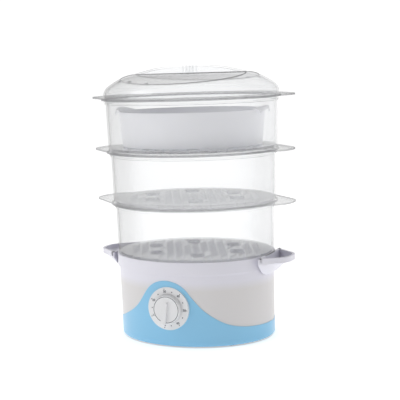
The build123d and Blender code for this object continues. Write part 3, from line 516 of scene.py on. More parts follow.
# The maker of each finish and its values in the maker's order; a word is the name of a colour.
FINISHES = {
    # Painted shade on the clear pieces, from the left end to the right.
    "clear_plastic": (clear_plastic, "clear", 0.006, 0.08, 0.45, 0.12, "clear_far"),
    "clear_plate": (clear_plastic, "clear", 0.03, 0.0, 0.20, 0.5),
    "clear_floor": (clear_plastic, "floor", 0.14, 0.05, 0.05, 1.3),
    "clear_slot": (clear_plastic, "slot", 0.30, 0.0, 0.0, 0.5),
    # Painted shade: dark rims of the clear pieces.
    "clear_edge": (clear_plastic, "edge", 0.35, 0.10, 0.2),
    # Painted shade along the creases of the lid, changing from the left end to the right.
    "clear_crease": (clear_plastic, "crease", 0.40, 0.10, 0.1, 0.12, "crease_far"),
    "bowl_plastic": (moulded, "bowl", 0.32, 1800.0, 0.15, 0.012, 0.06),
    "milky_plastic": (moulded, "milky", 0.34, 1800.0, 0.18, 0.012, 0.05, 0.0, "milky_low"),
    "blue_plastic": (moulded, "blue", 0.30, 1600.0, 0.2, 0.02, 0.0, 0.15),
    "white_plastic": (moulded, "white", 0.36, 1800.0, 0.18, 0.01),
    # Painted shadow of the gap round the knob, in the colour of the ink.
    "groove_plastic": (moulded, "ink", 0.6, 1800.0, 0.1, 0.05),
    "mark_ink": (moulded, "ink", 0.5, 2500.0, 0.1, 0.05),
    "grey_plastic": (moulded, "grey", 0.5, 1500.0, 0.3, 0.05),
    "black_plastic": (moulded, "black", 0.5, 1400.0, 0.35, 0.1),
    "rubber": (moulded, "rubber", 0.75, 1200.0, 0.5, 0.12),
    "seal_rubber": (moulded, "seal", 0.6, 1200.0, 0.3, 0.08),
    "wire_cover": (moulded, "wire", 0.55, 900.0, 0.3, 0.06),
    "steel": (metal, "steel", 0.35, 1.0),
    "stainless": (metal, "stainless", 0.28, 6.0),
    "brass": (metal, "brass", 0.3, 1.0),
}


def finish_of(context, slot):
    """The finish with this name, made the first time it is asked for."""
    name = "finish_" + slot
    if name not in bpy.data.materials:
        colours = context.scene.steamer_colours
        maker, *values = FINISHES[slot]
        maker(name, *[getattr(colours, v) if isinstance(v, str) else v for v in values])
    return bpy.data.materials[name]


# --- Mesh building ---

# Distances in millimetres under which cuts, points and planes count as the same.
SAME_CUT = 1e-5
SAME_POINT = 1e-4
SAME_PLANE = 1e-3


def only(kind, geom):
    """The items of one kind in the result of an operator."""
    return [item for item in geom if isinstance(item, kind)]


def edges_of(verts):
    """The edges that join these points."""
    chosen = set(verts)
    joined = {edge for vert in verts for edge in vert.link_edges}
    return [edge for edge in joined if edge.verts[0] in chosen and edge.verts[1] in chosen]


def points_in(items):
    """The points of these edges or faces."""
    return {vert for item in items for vert in item.verts}


def spaced_turn(vert, fineness=END_FINENESS):
    """Angle of a point on a circle, moved towards the nearer end of the oval."""
    turn = math.atan2(vert.co.y, vert.co.x)
    return turn - fineness * math.sin(2 * turn) / 2


def oval(bm, half, half_depth, z, points=RING_POINTS, fineness=END_FINENESS):
    """Oval ring of edges at height z, with its points closer together at both ends."""
    verts = bmesh.ops.create_circle(bm, cap_ends=False, segments=points, radius=1.0)["verts"]
    for vert in verts:
        turn = spaced_turn(vert, fineness)
        vert.co = (half * math.cos(turn), half_depth * math.sin(turn), z)
    return edges_of(verts)


def bridge(bm, rings):
    """Skin from each ring of edges to the next."""
    for low, high in zip(rings, rings[1:]):
        bmesh.ops.bridge_loops(bm, edges=low + high)


def wall(bm, levels, difference, closed=False, points=RING_POINTS, fineness=END_FINENESS):
    """Oval wall through (half length, height) levels; gives back its rings."""
    rings = [oval(bm, half, half - difference, z, points, fineness) for half, z in levels]
    bridge(bm, rings + rings[:1] if closed else rings)
    return rings


def fill(bm, edges):
    """Flat sheet inside the outer loop of edges and outside the inner ones."""
    bmesh.ops.triangle_fill(bm, use_beauty=True, use_dissolve=False, edges=edges)


def bevel(bm, geom, width, segments, affect):
    """Rounds edges or corners and gives back the faces of the rounding."""
    return bmesh.ops.bevel(
        bm, geom=geom, offset=width, offset_type="OFFSET", segments=segments,
        profile=0.5, affect=affect, clamp_overlap=True, material=-1,
    )["faces"]


def soften(bm, edges, width, segments=2):
    """Rounds edges and gives back the faces of the rounding."""
    return bevel(bm, edges, width, segments, "EDGES")


def round_corners(bm, verts, width, segments):
    """Rounds corners of a flat outline."""
    bevel(bm, verts, width, segments, "VERTICES")


def extrude_faces(bm, faces, shift):
    """Extrudes faces by a shift and gives back the moved faces."""
    made = bmesh.ops.extrude_face_region(bm, geom=faces)["geom"]
    bmesh.ops.translate(bm, vec=Vector(shift), verts=only(BMVert, made))
    return only(BMFace, made)


def extrude_edges(bm, edges, shift):
    """Extrudes edges by a shift and gives back the moved points."""
    verts = only(BMVert, bmesh.ops.extrude_edge_only(bm, edges=edges)["geom"])
    bmesh.ops.translate(bm, vec=Vector(shift), verts=verts)
    return verts


def rod(bm, radius, depth, place, points):
    """Round solid along the Z axis of its place."""
    return bmesh.ops.create_cone(
        bm, cap_ends=True, segments=points, radius1=radius, radius2=radius, depth=depth,
        matrix=place,
    )["verts"]


def mesh_of(name, bm):
    """Mesh that takes over what a bmesh holds."""
    mesh = bpy.data.meshes.new(name)
    bm.to_mesh(mesh)
    bm.free()
    return mesh


def add_object(context, name, data):
    """New object in the scene."""
    made = bpy.data.objects.new(name, data)
    context.scene.collection.objects.link(made)
    return made


def merge(bm, part):
    """Moves a second mesh into the first."""
    mesh = mesh_of("part", part)
    bm.from_mesh(mesh)
    bpy.data.meshes.remove(mesh)


def merge_curve(context, bm, curve, place=Matrix.Identity(4), finish=0):
    """Moves the surface of a curve or a text into a mesh."""
    holder = add_object(context, "curve", curve)
    context.view_layer.update()
    mesh = bpy.data.meshes.new_from_object(holder.evaluated_get(context.evaluated_depsgraph_get()))
    mesh.transform(place)
    for polygon in mesh.polygons:
        polygon.material_index = finish
    bm.from_mesh(mesh)
    bpy.data.objects.remove(holder)
    bpy.data.curves.remove(curve)
    bpy.data.meshes.remove(mesh)


def make_piece(context, bm, name, slot, body, nodes=(), angle=35.0, more=()):
    """Turns a mesh in millimetres into a finished piece that rides on a body."""
    bmesh.ops.recalc_face_normals(bm, faces=bm.faces[:])
    bmesh.ops.scale(bm, vec=Vector((1 / METRE,) * 3), verts=bm.verts[:])
    mesh = mesh_of(name, bm)
    mesh.shade_smooth()
    mesh.set_sharp_from_angle(angle=math.radians(angle))
    piece = add_object(context, name, mesh)
    for finish in (slot, *more):
        mesh.materials.append(finish_of(context, finish))
    shading = piece.modifiers.new("even_shading", "WEIGHTED_NORMAL")
    shading.keep_sharp = True
    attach(piece, body)
    if nodes:
        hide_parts(*nodes)
    return piece


def cut_away(context, stock_bm, cutter_bm):
    """The first mesh with the second one taken away, each part with the finish it had."""
    holders = []
    for name, source in (("stock", stock_bm), ("cutter", cutter_bm)):
        bmesh.ops.recalc_face_normals(source, faces=source.faces[:])
        mesh = mesh_of(name, source)
        for _ in (PLAIN, EDGE):
            mesh.materials.append(None)
        holders.append(add_object(context, name, mesh))
    stock, cutter = holders
    cut = stock.modifiers.new("cut", "BOOLEAN")
    cut.operation = "DIFFERENCE"
    cut.solver = "EXACT"
    cut.object = cutter
    context.view_layer.update()
    result = bmesh.new()
    result.from_object(stock, context.evaluated_depsgraph_get())
    for holder in holders:
        mesh = holder.data
        bpy.data.objects.remove(holder)
        bpy.data.meshes.remove(mesh)
    return result


def touch_angle(half, half_depth, point, side):
    """Angle on an oval at which a line from a point outside touches it, on the given side."""
    x = point[0] / half
    y = point[1] / half_depth
    return math.atan2(y, x) + side * math.acos(1 / math.hypot(x, y))


def tips(reach, width, turn):
    """Front and rear corner of the blunt tip on the right, turned about the middle."""
    return [Matrix.Rotation(turn, 2) @ Vector((reach, side * width / 2)) for side in (-1, 1)]


def ear_face(bm, half, half_depth, basket, reach, z):
    """Flat oval face at height z drawn out to a blunt ear at both ends by straight sides."""
    front, rear = tips(reach, basket.ear_width, basket.ear_turn)
    low = touch_angle(half, half_depth, front, -1)
    high = touch_angle(half, half_depth, rear, 1)
    made = bmesh.ops.create_circle(bm, cap_ends=True, segments=RING_POINTS, radius=1.0)
    zones = {1: [], -1: []}
    for vert in made["verts"]:
        turn = spaced_turn(vert)
        vert.co = (half * math.cos(turn), half_depth * math.sin(turn), z)
        for sign, zone in zones.items():
            place = math.atan2(sign * math.sin(turn), sign * math.cos(turn))
            if low < place < high:
                zone.append((place, vert))
    corners = []
    for sign, zone in zones.items():
        zone.sort(key=lambda item: item[0])
        for (_, vert), tip in ((zone[0], front), (zone[-1], rear)):
            vert.co = (sign * tip.x, sign * tip.y, z)
            corners.append(vert)
        bmesh.ops.dissolve_verts(bm, verts=[vert for _, vert in zone[1:-1]])
    round_corners(bm, corners, CORNER_SHARE * basket.ear_corner, CORNER_STEPS)
    return list(bm.faces)[-1]


# --- Baskets ---

SLOT_POINTS = 12
WELL_POINTS = 40
# How near a face must lie to the flange, the wall or the floor to take its finish.
FLANGE_REACH = 0.1
WALL_REACH = 0.6
FLOOR_REACH = 0.01


def well_places(basket, floor_half, difference):
    """Middles of the egg wells."""
    count = basket.well_count
    turns = [basket.well_turn + index * math.tau / count for index in range(count)]
    half, half_depth = basket.well_share * floor_half, basket.well_share * (floor_half - difference)
    return [(half * math.cos(turn), half_depth * math.sin(turn)) for turn in turns]


def slot_places(basket, floor_half, difference):
    """Middles of the steam slots that fit in the floor and clear the wells."""
    half_depth = floor_half - difference
    keep_out = basket.well_radius + basket.well_collar + basket.slot_width / 2 + basket.well_rise
    step = basket.slot_length + basket.slot_bridge
    columns = int(floor_half / basket.slot_pitch)
    rows = int(half_depth / step) + 1
    wells = well_places(basket, floor_half, difference)
    places = []
    for column in range(-columns, columns + 1):
        for row in range(-rows, rows + 1):
            x = column * basket.slot_pitch
            y = row * step + step / 2 * (column % 2)
            side = (abs(x) + basket.slot_width / 2) / (floor_half - basket.slot_margin)
            end = (abs(y) + basket.slot_length / 2) / (half_depth - basket.slot_margin)
            half = basket.slot_length / 2
            gaps = [math.hypot(x - wx, max(0.0, abs(y - wy) - half)) for wx, wy in wells]
            if side ** 2 + end ** 2 <= 1 and min(gaps) >= keep_out:
                places.append((x, y))
    return places


def round_loop(bm, x, y, z, radius, points, stretch=0.0):
    """Round loop of edges, drawn out along Y into a slot where stretch is given."""
    half_step = Matrix.Rotation(math.pi / points, 4, "Z")
    made = bmesh.ops.create_circle(
        bm, cap_ends=False, segments=points, radius=radius, matrix=half_step
    )
    for vert in made["verts"]:
        vert.co += Vector((x, y + math.copysign(stretch / 2, vert.co.y), z))
    return edges_of(made["verts"])


def perforated_floor(bm, basket, upper, lower, floor_z, foot_z, floor_half, difference):
    """Floor with steam slots and collared egg wells between two rings."""
    tops = []
    for x, y in slot_places(basket, floor_half, difference):
        straight = basket.slot_length - basket.slot_width
        tops += round_loop(bm, x, y, floor_z, basket.slot_width / 2, SLOT_POINTS, straight)
    lows = edges_of(extrude_edges(bm, tops, (0, 0, foot_z - floor_z)))
    outer = basket.well_radius + basket.well_collar
    brim = floor_z + basket.well_rise
    inner = basket.well_radius
    profile = ((outer, floor_z), (outer, brim), (inner, brim), (inner, foot_z))
    for x, y in well_places(basket, floor_half, difference):
        loops = [round_loop(bm, x, y, z, radius, WELL_POINTS) for radius, z in profile]
        bridge(bm, loops)
        tops += loops[0]
        lows += loops[-1]
    fill(bm, upper + tops)
    fill(bm, lower + lows)


def outside(place, half, difference):
    """Whether a place lies outside an oval in plan."""
    return (place.x / half) ** 2 + (place.y / (half - difference)) ** 2 > 1


def build_basket(bm, basket, stack, tier, seat_z, flange_z, spigot_half):
    """One basket as a single closed skin."""
    gap = stack.plan_difference
    foot_z = seat_z + stack.seat_gap
    floor_z = foot_z + basket.floor
    ledge_z = flange_z - basket.socket_depth
    shoulder_z = ledge_z - basket.socket_ledge
    shoulder = tier.top - basket.socket_step
    floor_half = spigot_half - basket.socket_wall
    inside = wall(bm, [
        (tier.foot - basket.wall, floor_z),
        (shoulder - basket.wall, ledge_z),
        (tier.top - basket.socket_wall, ledge_z),
        (tier.top - basket.socket_wall, flange_z),
    ], gap)
    skin = wall(bm, [
        (tier.top, flange_z - basket.flange),
        (tier.top, shoulder_z),
        (shoulder, shoulder_z),
        (tier.foot, foot_z),
        (spigot_half, foot_z),
        (spigot_half, foot_z - basket.spigot_depth),
        (floor_half, foot_z - basket.spigot_depth),
        (floor_half, foot_z),
    ], gap)
    flange = tier.top + basket.end_overhang
    half_depth = tier.top - gap + basket.side_overhang
    top = ear_face(bm, flange, half_depth, basket, tier.reach, flange_z)
    rim = list(top.edges)
    under = extrude_faces(bm, [top], (0, 0, -basket.flange))
    lower_rim = list(under[0].edges)
    spare = [face for face in (top, *under) if face.is_valid]
    bmesh.ops.delete(bm, geom=spare, context="FACES_ONLY")
    lip_half = flange - basket.lip_inset
    lip = wall(bm, [
        (lip_half, flange_z - basket.flange),
        (lip_half, flange_z - basket.drop),
        (lip_half - basket.lip, flange_z - basket.drop),
        (lip_half - basket.lip, flange_z - basket.flange),
    ], flange - half_depth)
    fill(bm, rim + inside[-1])
    fill(bm, lower_rim + lip[0])
    fill(bm, lip[-1] + skin[0])
    perforated_floor(bm, basket, inside[0], skin[-1], floor_z, foot_z, floor_half, gap)
    sharp = rim + lower_rim + lip[1] + lip[2] + inside[1] + inside[3] + skin[1] + skin[2] + skin[3]
    rounding = soften(bm, [edge for edge in sharp if edge.is_valid], basket.rounding)
    # Upright faces of the flange and all roundings take the rim finish, painted dark as shade along
    # the rims.
    flange_foot = flange_z - basket.drop - FLANGE_REACH
    for face in bm.faces:
        middle = face.calc_center_median()
        upright = abs(face.normal.z) < 0.5
        if middle.z > flange_foot and outside(middle, tier.top + WALL_REACH, gap):
            face.material_index = EDGE if upright else PLATE
        elif max(abs(middle.z - floor_z), abs(middle.z - foot_z)) < basket.floor + FLOOR_REACH:
            in_slot = not outside(middle, floor_half - 1, gap)
            face.material_index = (SLOT if in_slot else PLAIN) if upright else FLOOR
    for face in rounding:
        face.material_index = EDGE


class STEAMER_OT_baskets(bpy.types.Operator):
    """Make the three clear baskets with their slotted floors"""

    bl_idname = "steamer.baskets"
    bl_label = "Baskets"

    def execute(self, context):
        basket = sizes(context, "basket")
        stack = sizes(context, "stack")
        seats = (stack.rim_height, stack.bottom_flange, stack.middle_flange, stack.top_flange)
        below = stack.base_top_half - sizes(context, "base").wall
        for tier, seat, flange in zip(TIERS, seats, seats[1:]):
            bm = bmesh.new()
            build_basket(bm, basket, stack, tier, seat, flange, below - stack.slide_gap)
            node = "basket_" + tier.name
            make_piece(
                context, bm, "clear_" + node, "clear_plastic", node, (node,),
                more=("clear_edge", "clear_floor", "clear_plate", "clear_slot"),
            )
            below = tier.top - basket.socket_wall
        return {"FINISHED"}


# --- Lid ---

# The dome as shares of its half length and of its height over the upright side.
DOME = (
    (1.0, 0.0), (0.993, 0.06), (0.983, 0.13), (0.96, 0.23), (0.90, 0.37), (0.81, 0.54),
    (0.694, 0.684), (0.56, 0.80), (0.41, 0.91), (0.22, 0.975), (0.04, 1.0),
)
DOME_STEPS = 4
# Places of the vents at the front; the rear ones are turned by half a turn.
VENTS = ((-86.0, -58.0), (-66.0, -66.0), (-30.0, -86.0))
# Depth of the middle of a vent's cutter under the crest, and its length.
VENT_DEPTH = 15.0
VENT_CUT = 40.0
VENT_POINTS = 24
# The outline of a facet lies no lower than this under the crest.
FACET_DEPTH = 30.0


def smooth_line(points, steps):
    """Smooth line through points, with a number of steps from each to the next."""
    line = [points[0]]
    last = len(points) - 1
    for index in range(last):
        start, end = points[index], points[index + 1]
        leaving = (end - points[max(index - 1, 0)]) / 6
        arriving = (points[min(index + 2, last)] - start) / 6
        line += interpolate_bezier(start, start + leaving, end - arriving, end, steps + 1)[1:]
    return line


def cut_facet(bm, lid, sign):
    """Cuts the sloping facet on one side of the ridge, closes it and gives back its outline."""
    start = lid.ridge / 2
    high = lid.crest - lid.facet_drop
    slope = Vector((0, sign * lid.facet_fall, 1)).normalized()
    corner = Vector((0, sign * start, high))
    whole = bm.verts[:] + bm.edges[:] + bm.faces[:]
    across = Vector((0, sign, 0))
    bmesh.ops.bisect_plane(bm, geom=whole, dist=SAME_CUT, plane_co=corner, plane_no=across)
    side = [f for f in bm.faces if f.calc_center_median().y * sign > start + SAME_POINT]
    geom = side + list({edge for face in side for edge in face.edges}) + list(points_in(side))
    bmesh.ops.bisect_plane(bm, geom=geom, dist=SAME_CUT, plane_co=corner, plane_no=slope)
    gone = [
        f for f in bm.faces
        if f.calc_center_median().y * sign > start + SAME_POINT
        and (f.calc_center_median() - corner).dot(slope) > SAME_POINT
    ]
    bmesh.ops.delete(bm, geom=gone, context="FACES")
    ends = [
        v for v in bm.verts
        if abs(v.co.y - sign * start) < SAME_PLANE and abs(v.co.z - high) < 0.02 and v.is_boundary
    ]
    bm.edges.new((min(ends, key=lambda v: v.co.x), max(ends, key=lambda v: v.co.x)))
    bounds = [
        e for e in bm.edges
        if (e.is_boundary or e.is_wire)
        and e.verts[0].co.z > lid.crest - FACET_DEPTH and e.verts[0].co.y * sign > 0
    ]
    filled = bmesh.ops.edgenet_fill(bm, edges=bounds)["faces"]
    facet = max(filled, key=lambda face: face.calc_area())
    return [vert.co.copy() for vert in facet.verts]


def add_bead(context, bm, points, radius):
    """Round bead along a closed line of points."""
    curve = bpy.data.curves.new("bead", "CURVE")
    curve.dimensions = "3D"
    curve.bevel_depth = radius
    curve.bevel_resolution = 2
    spline = curve.splines.new("POLY")
    spline.points.add(len(points) - 1)
    spline.use_cyclic_u = True
    for point, place in zip(spline.points, points):
        point.co = (*place, 1.0)
    merge_curve(context, bm, curve, finish=CREASE)


def build_lid_shell(bm, lid, stack):
    """Outer skin of the lid, open underneath; gives back the outlines of the two facets."""
    foot = stack.top_flange + stack.seat_gap
    side = foot + lid.side_height
    half_depth = lid.foot_half - stack.plan_difference
    profile = smooth_line([Vector((share, rise, 0)) for share, rise in DOME], DOME_STEPS)
    levels = [(1.0, foot)] + [(at.x, side + at.y * (lid.crest - side)) for at in profile]
    rings = [oval(bm, share * lid.foot_half, share * half_depth, z) for share, z in levels]
    bridge(bm, rings)
    bmesh.ops.edgeloop_fill(bm, edges=rings[-1])
    outlines = [cut_facet(bm, lid, sign) for sign in (-1, 1)]
    bmesh.ops.recalc_face_normals(bm, faces=bm.faces[:])
    if max(bm.faces, key=lambda f: f.calc_center_median().z).normal.z < 0:
        bmesh.ops.reverse_faces(bm, faces=bm.faces[:])
    return outlines


def add_ribs(bm, lid):
    """Raised grip ribs down both faces of the ridge, each with a short foot on the facet."""
    start = lid.ridge / 2
    high = lid.crest - lid.facet_drop
    end = start + lid.rib_foot
    low = high - lid.facet_fall * lid.rib_foot
    rise = lid.rib_rise
    outline = (
        (start - 1, lid.crest - 3), (start, lid.crest - 1), (start + rise, lid.crest - 2),
        (start + rise, high + rise), (end, low + rise), (end + 1, low - 0.2), (end, low - 1),
        (start - 1, high - 1),
    )
    for index in range(lid.rib_count):
        x = (index - (lid.rib_count - 1) / 2) * lid.rib_pitch - lid.rib_width / 2
        for sign in (-1, 1):
            face = bm.faces.new([bm.verts.new((x, sign * y, z)) for y, z in outline])
            extrude_faces(bm, [face], (lid.rib_width, 0, 0))


class STEAMER_OT_lid(bpy.types.Operator):
    """Make the clear lid with its grip ridge, ribs and vents"""

    bl_idname = "steamer.lid"
    bl_label = "Lid"

    def execute(self, context):
        lid = sizes(context, "lid")
        stack = sizes(context, "stack")
        basket = sizes(context, "basket")
        shell = bmesh.new()
        outlines = build_lid_shell(shell, lid, stack)
        bmesh.ops.solidify(shell, geom=shell.faces[:], thickness=lid.wall)
        vents = bmesh.new()
        for x, y in VENTS:
            for sign in (-1, 1):
                place = Matrix.Translation((sign * x, sign * y, lid.crest - VENT_DEPTH))
                rod(vents, lid.vent_radius, VENT_CUT, place, VENT_POINTS)
        # The walls of the vents take the rim finish, painted dark as shade.
        for face in vents.faces:
            face.material_index = EDGE
        bm = cut_away(context, shell, vents)
        foot = stack.top_flange + stack.seat_gap
        low, high = foot - basket.spigot_depth, foot + basket.socket_wall
        spigot = TIERS[-1].top - basket.socket_wall - stack.slide_gap
        inner = lid.foot_half - lid.wall
        wall(bm, [
            (inner, foot), (spigot, foot), (spigot, low), (spigot - basket.socket_wall, low),
            (spigot - basket.socket_wall, high), (inner, high),
        ], stack.plan_difference, closed=True)
        add_ribs(bm, lid)
        # The beads carry the crease finish: lines of painted shade along the outlines of the
        # facets.
        for outline in outlines:
            add_bead(context, bm, outline, lid.bead)
        make_piece(
            context, bm, "clear_lid", "clear_plastic", "lid", ("lid",), 12.0,
            ("clear_edge", "clear_crease"),
        )
        return {"FINISHED"}


# --- Rice bowl ---

# Handles of the curve of an ear: up from its foot, on both sides of its top, and at its tip.
EAR_FOOT = Vector((0.6, 0, 7.0))
EAR_RISE = Vector((3.5, 0, 0))
EAR_FALL = Vector((3.0, 0, 0))
EAR_TIP = Vector((-0.4, 0, 3.5))
# How much an ear narrows towards its tip, and how far its sides draw back.
EAR_NARROWING = 0.35
EAR_SWEEP = 0.012
# How far the line of an ear stays within its reach and under its top, how its sides droop
# and how often it is divided across.
EAR_WITHIN = 1.4
EAR_UNDER = 0.4
EAR_DROOP = 0.6
EAR_CUTS = 14


class STEAMER_OT_bowl(bpy.types.Operator):
    """Make the rice bowl with its two curled ears"""

    bl_idname = "steamer.bowl"
    bl_label = "Rice bowl"

    def execute(self, context):
        bowl = sizes(context, "bowl")
        bm = bmesh.new()
        foot = bowl.foot
        rim = foot + bowl.height
        rings = wall(bm, [
            (bowl.foot_half - bowl.wall, foot + bowl.wall),
            (bowl.rim_half - bowl.wall, rim),
            (bowl.rim_half, rim),
            (bowl.foot_half, foot),
        ], sizes(context, "stack").plan_difference)
        fill(bm, rings[0])
        fill(bm, rings[-1])
        soften(bm, rings[3] + rings[0], bowl.foot_round, 5)
        soften(bm, [e for e in rings[1] + rings[2] if e.is_valid], bowl.rim_round)
        for sign in (-1, 1):
            self.add_ear(bm, bowl, rim, sign)
        make_piece(context, bm, "rice_bowl_white", "bowl_plastic", "rice_bowl", ("rice_bowl",))
        return {"FINISHED"}

    def add_ear(self, bm, bowl, rim, sign):
        """Curled ear that rises from the rim and turns over at its tip."""
        inner = bowl.rim_half - bowl.wall + bowl.rim_round
        start = Vector((inner, 0, rim - bowl.ear_rise))
        middle = (bowl.ear_reach + bowl.rim_half) / 2
        top = Vector((middle, 0, rim + bowl.ear_rise - EAR_UNDER))
        end = Vector((bowl.ear_reach - EAR_WITHIN, 0, rim))
        line = interpolate_bezier(start, start + EAR_FOOT, top - EAR_RISE, top, 8)
        line += interpolate_bezier(top, top + EAR_FALL, end + EAR_TIP, end, 8)[1:]
        ear = bmesh.new()
        verts = [ear.verts.new((sign * place.x, -1, place.z)) for place in line]
        edges = [ear.edges.new(pair) for pair in zip(verts, verts[1:])]
        extrude_edges(ear, edges, (0, 2, 0))
        across = [e for e in ear.edges if abs(e.verts[0].co.y - e.verts[1].co.y) > 1]
        bmesh.ops.subdivide_edges(ear, edges=across, cuts=EAR_CUTS, use_grid_fill=True)
        for vert in ear.verts:
            out = max(0.0, (abs(vert.co.x) - inner) / (bowl.ear_reach - inner))
            share = vert.co.y
            vert.co.y = share * bowl.ear_width / 2 * (1 - EAR_NARROWING * out ** 2)
            if vert.co.z > rim - bowl.ear_rise + 1:
                vert.co.z -= bowl.ear_rise * out ** EAR_DROOP * share ** 2
            vert.co.x -= sign * EAR_SWEEP * vert.co.y ** 2
        bmesh.ops.recalc_face_normals(ear, faces=ear.faces[:])
        bmesh.ops.solidify(ear, geom=ear.faces[:], thickness=bowl.ear_wall)
        merge(bm, ear)


# --- Base ---

# Underside of a filling pocket along its middle, and the slopes of the wave beside its crest:
# distance from the middle and height.
UNDERSIDE = ((114.8, 94.5), (127.8, 101.0), (137.8, 110.0), (145.8, 114.3), (154.8, 117.0))
SLOPES = {1: ((48.0, 53.0), (80.0, 31.8)), -1: ((60.0, 55.5), (93.0, 35.0))}
# Angle on the crest at which each slope begins, and how far before it the curve is led in.
SLOPE_STARTS = {1: (30.0, 4.0), -1: (145.0, 5.0)}
SLOPE_END = 121.0
SKIRT_ROWS = 14
HOLE_POINTS = 64
# Columns and row height of the grid that shapes a pocket, and how its underside widens and
# curls up.
POCKET_COLUMNS = 14
POCKET_ROW = 7.0
POCKET_WIDENING = 0.78
POCKET_CURL = 2.5


def smooth_height(points, x):
    """Height of a smooth curve through points that run in x."""
    last = len(points) - 1
    index = next((i for i in range(last) if x <= points[i + 1][0]), last - 1)
    (x0, z0), (x1, z1) = points[index], points[index + 1]
    before = points[max(index - 1, 0)]
    after = points[min(index + 2, last)]
    run = x1 - x0
    slope0 = (z1 - before[1]) / (x1 - before[0])
    slope1 = (after[1] - z0) / (after[0] - x0)
    t = min(max((x - x0) / run, 0.0), 1.0)
    return (
        (2 * t ** 3 - 3 * t ** 2 + 1) * z0 + (t ** 3 - 2 * t ** 2 + t) * run * slope0
        + (3 * t ** 2 - 2 * t ** 3) * z1 + (t ** 3 - t ** 2) * run * slope1
    )


def wave_height(base, dial_height, x):
    """Height of the front top edge of the skirt: a round crest with a slope on each side."""
    from_centre = x - base.wave_centre
    radius = base.wave_radius
    for sign, (degrees, lead) in SLOPE_STARTS.items():
        turn = math.radians(degrees)
        reach = radius * math.cos(turn)
        if sign * (from_centre - reach) > 0:
            start = (sign * (base.wave_centre + reach), dial_height + radius * math.sin(turn))
            ahead = (start[0] - lead, start[1] + lead / abs(math.tan(turn)))
            side = base.skirt_side
            ends = ((SLOPE_END, side), (SLOPE_END + 30, side))
            return smooth_height((ahead, start, *SLOPES[sign], *ends), sign * x)
    return dial_height + math.sqrt(radius ** 2 - from_centre ** 2)


def base_half(stack, z):
    """Half length of the outside of the base at height z."""
    spread = stack.base_top_half - stack.base_foot_half
    return stack.base_foot_half + spread * z / stack.rim_height


def pocket_depth(base, rim, place):
    """Height of the spoon-shaped underside of a pocket at a place in plan."""
    along = Matrix.Rotation(-base.pocket_turn, 2) @ place.to_2d()
    reach = base.pocket_reach
    spread = base.pocket_width / 2 + POCKET_WIDENING * (reach - abs(along.x))
    aside = min(1.0, abs(along.y) / spread)
    low = smooth_height(UNDERSIDE, min(abs(along.x), reach))
    return low + max(0.0, rim - base.pocket_rim - low) * aside ** POCKET_CURL


def add_pocket(bm, base, stack, sign):
    """Filling pocket with a rounded rim, hollow inside and spoon-shaped underneath."""
    half = stack.base_top_half + base.collar_proud
    half_depth = half - stack.plan_difference
    rim = stack.rim_height
    front, rear = tips(base.pocket_reach, base.pocket_width, base.pocket_turn)
    corners = []
    for tip, side in ((front, -1), (rear, 1)):
        turn = touch_angle(half, half_depth, tip, side)
        touch = Vector((half * math.cos(turn), half_depth * math.sin(turn)))
        corners.append(tip.lerp(touch, (tip.x - base.pocket_root) / (tip.x - touch.x)))
    outline = [corners[0], front, rear, corners[1]]
    pocket = bmesh.new()
    verts = [pocket.verts.new((sign * place.x, sign * place.y, rim)) for place in outline]
    pocket.faces.new(verts)
    round_corners(pocket, verts[1:3], CORNER_SHARE * base.pocket_corner, CORNER_STEPS)
    step = (base.pocket_reach - base.pocket_root) / POCKET_COLUMNS
    columns = [sign * (base.pocket_root + step * index) for index in range(1, POCKET_COLUMNS)]
    rows = [POCKET_ROW * index for index in range(-7, 8)]
    cuts = [((x, 0, 0), (1, 0, 0)) for x in columns] + [((0, y, 0), (0, 1, 0)) for y in rows]
    for place, facing in cuts:
        whole = pocket.verts[:] + pocket.edges[:] + pocket.faces[:]
        bmesh.ops.bisect_plane(pocket, geom=whole, dist=SAME_POINT, plane_co=place, plane_no=facing)
    upper = pocket.faces[:]
    for vert in points_in(extrude_faces(pocket, upper, (0, 0, -1))):
        vert.co.z = pocket_depth(base, rim, vert.co)
    bmesh.ops.inset_region(pocket, faces=upper, thickness=base.pocket_lip, use_even_offset=True)
    inner = extrude_faces(pocket, upper, (0, 0, -1))
    bmesh.ops.delete(pocket, geom=[face for face in upper if face.is_valid], context="FACES")
    for vert in points_in(inner):
        vert.co.z = pocket_depth(base, rim, vert.co) + base.pocket_wall
    bmesh.ops.recalc_face_normals(pocket, faces=pocket.faces[:])
    sharp = [
        edge for edge in pocket.edges
        if len(edge.link_faces) == 2 and edge.calc_face_angle(0.0) > 1.0
        and all(abs(vert.co.z - rim) < SAME_PLANE for vert in edge.verts)
    ]
    soften(pocket, sharp, base.pocket_round, 4)
    merge(bm, pocket)


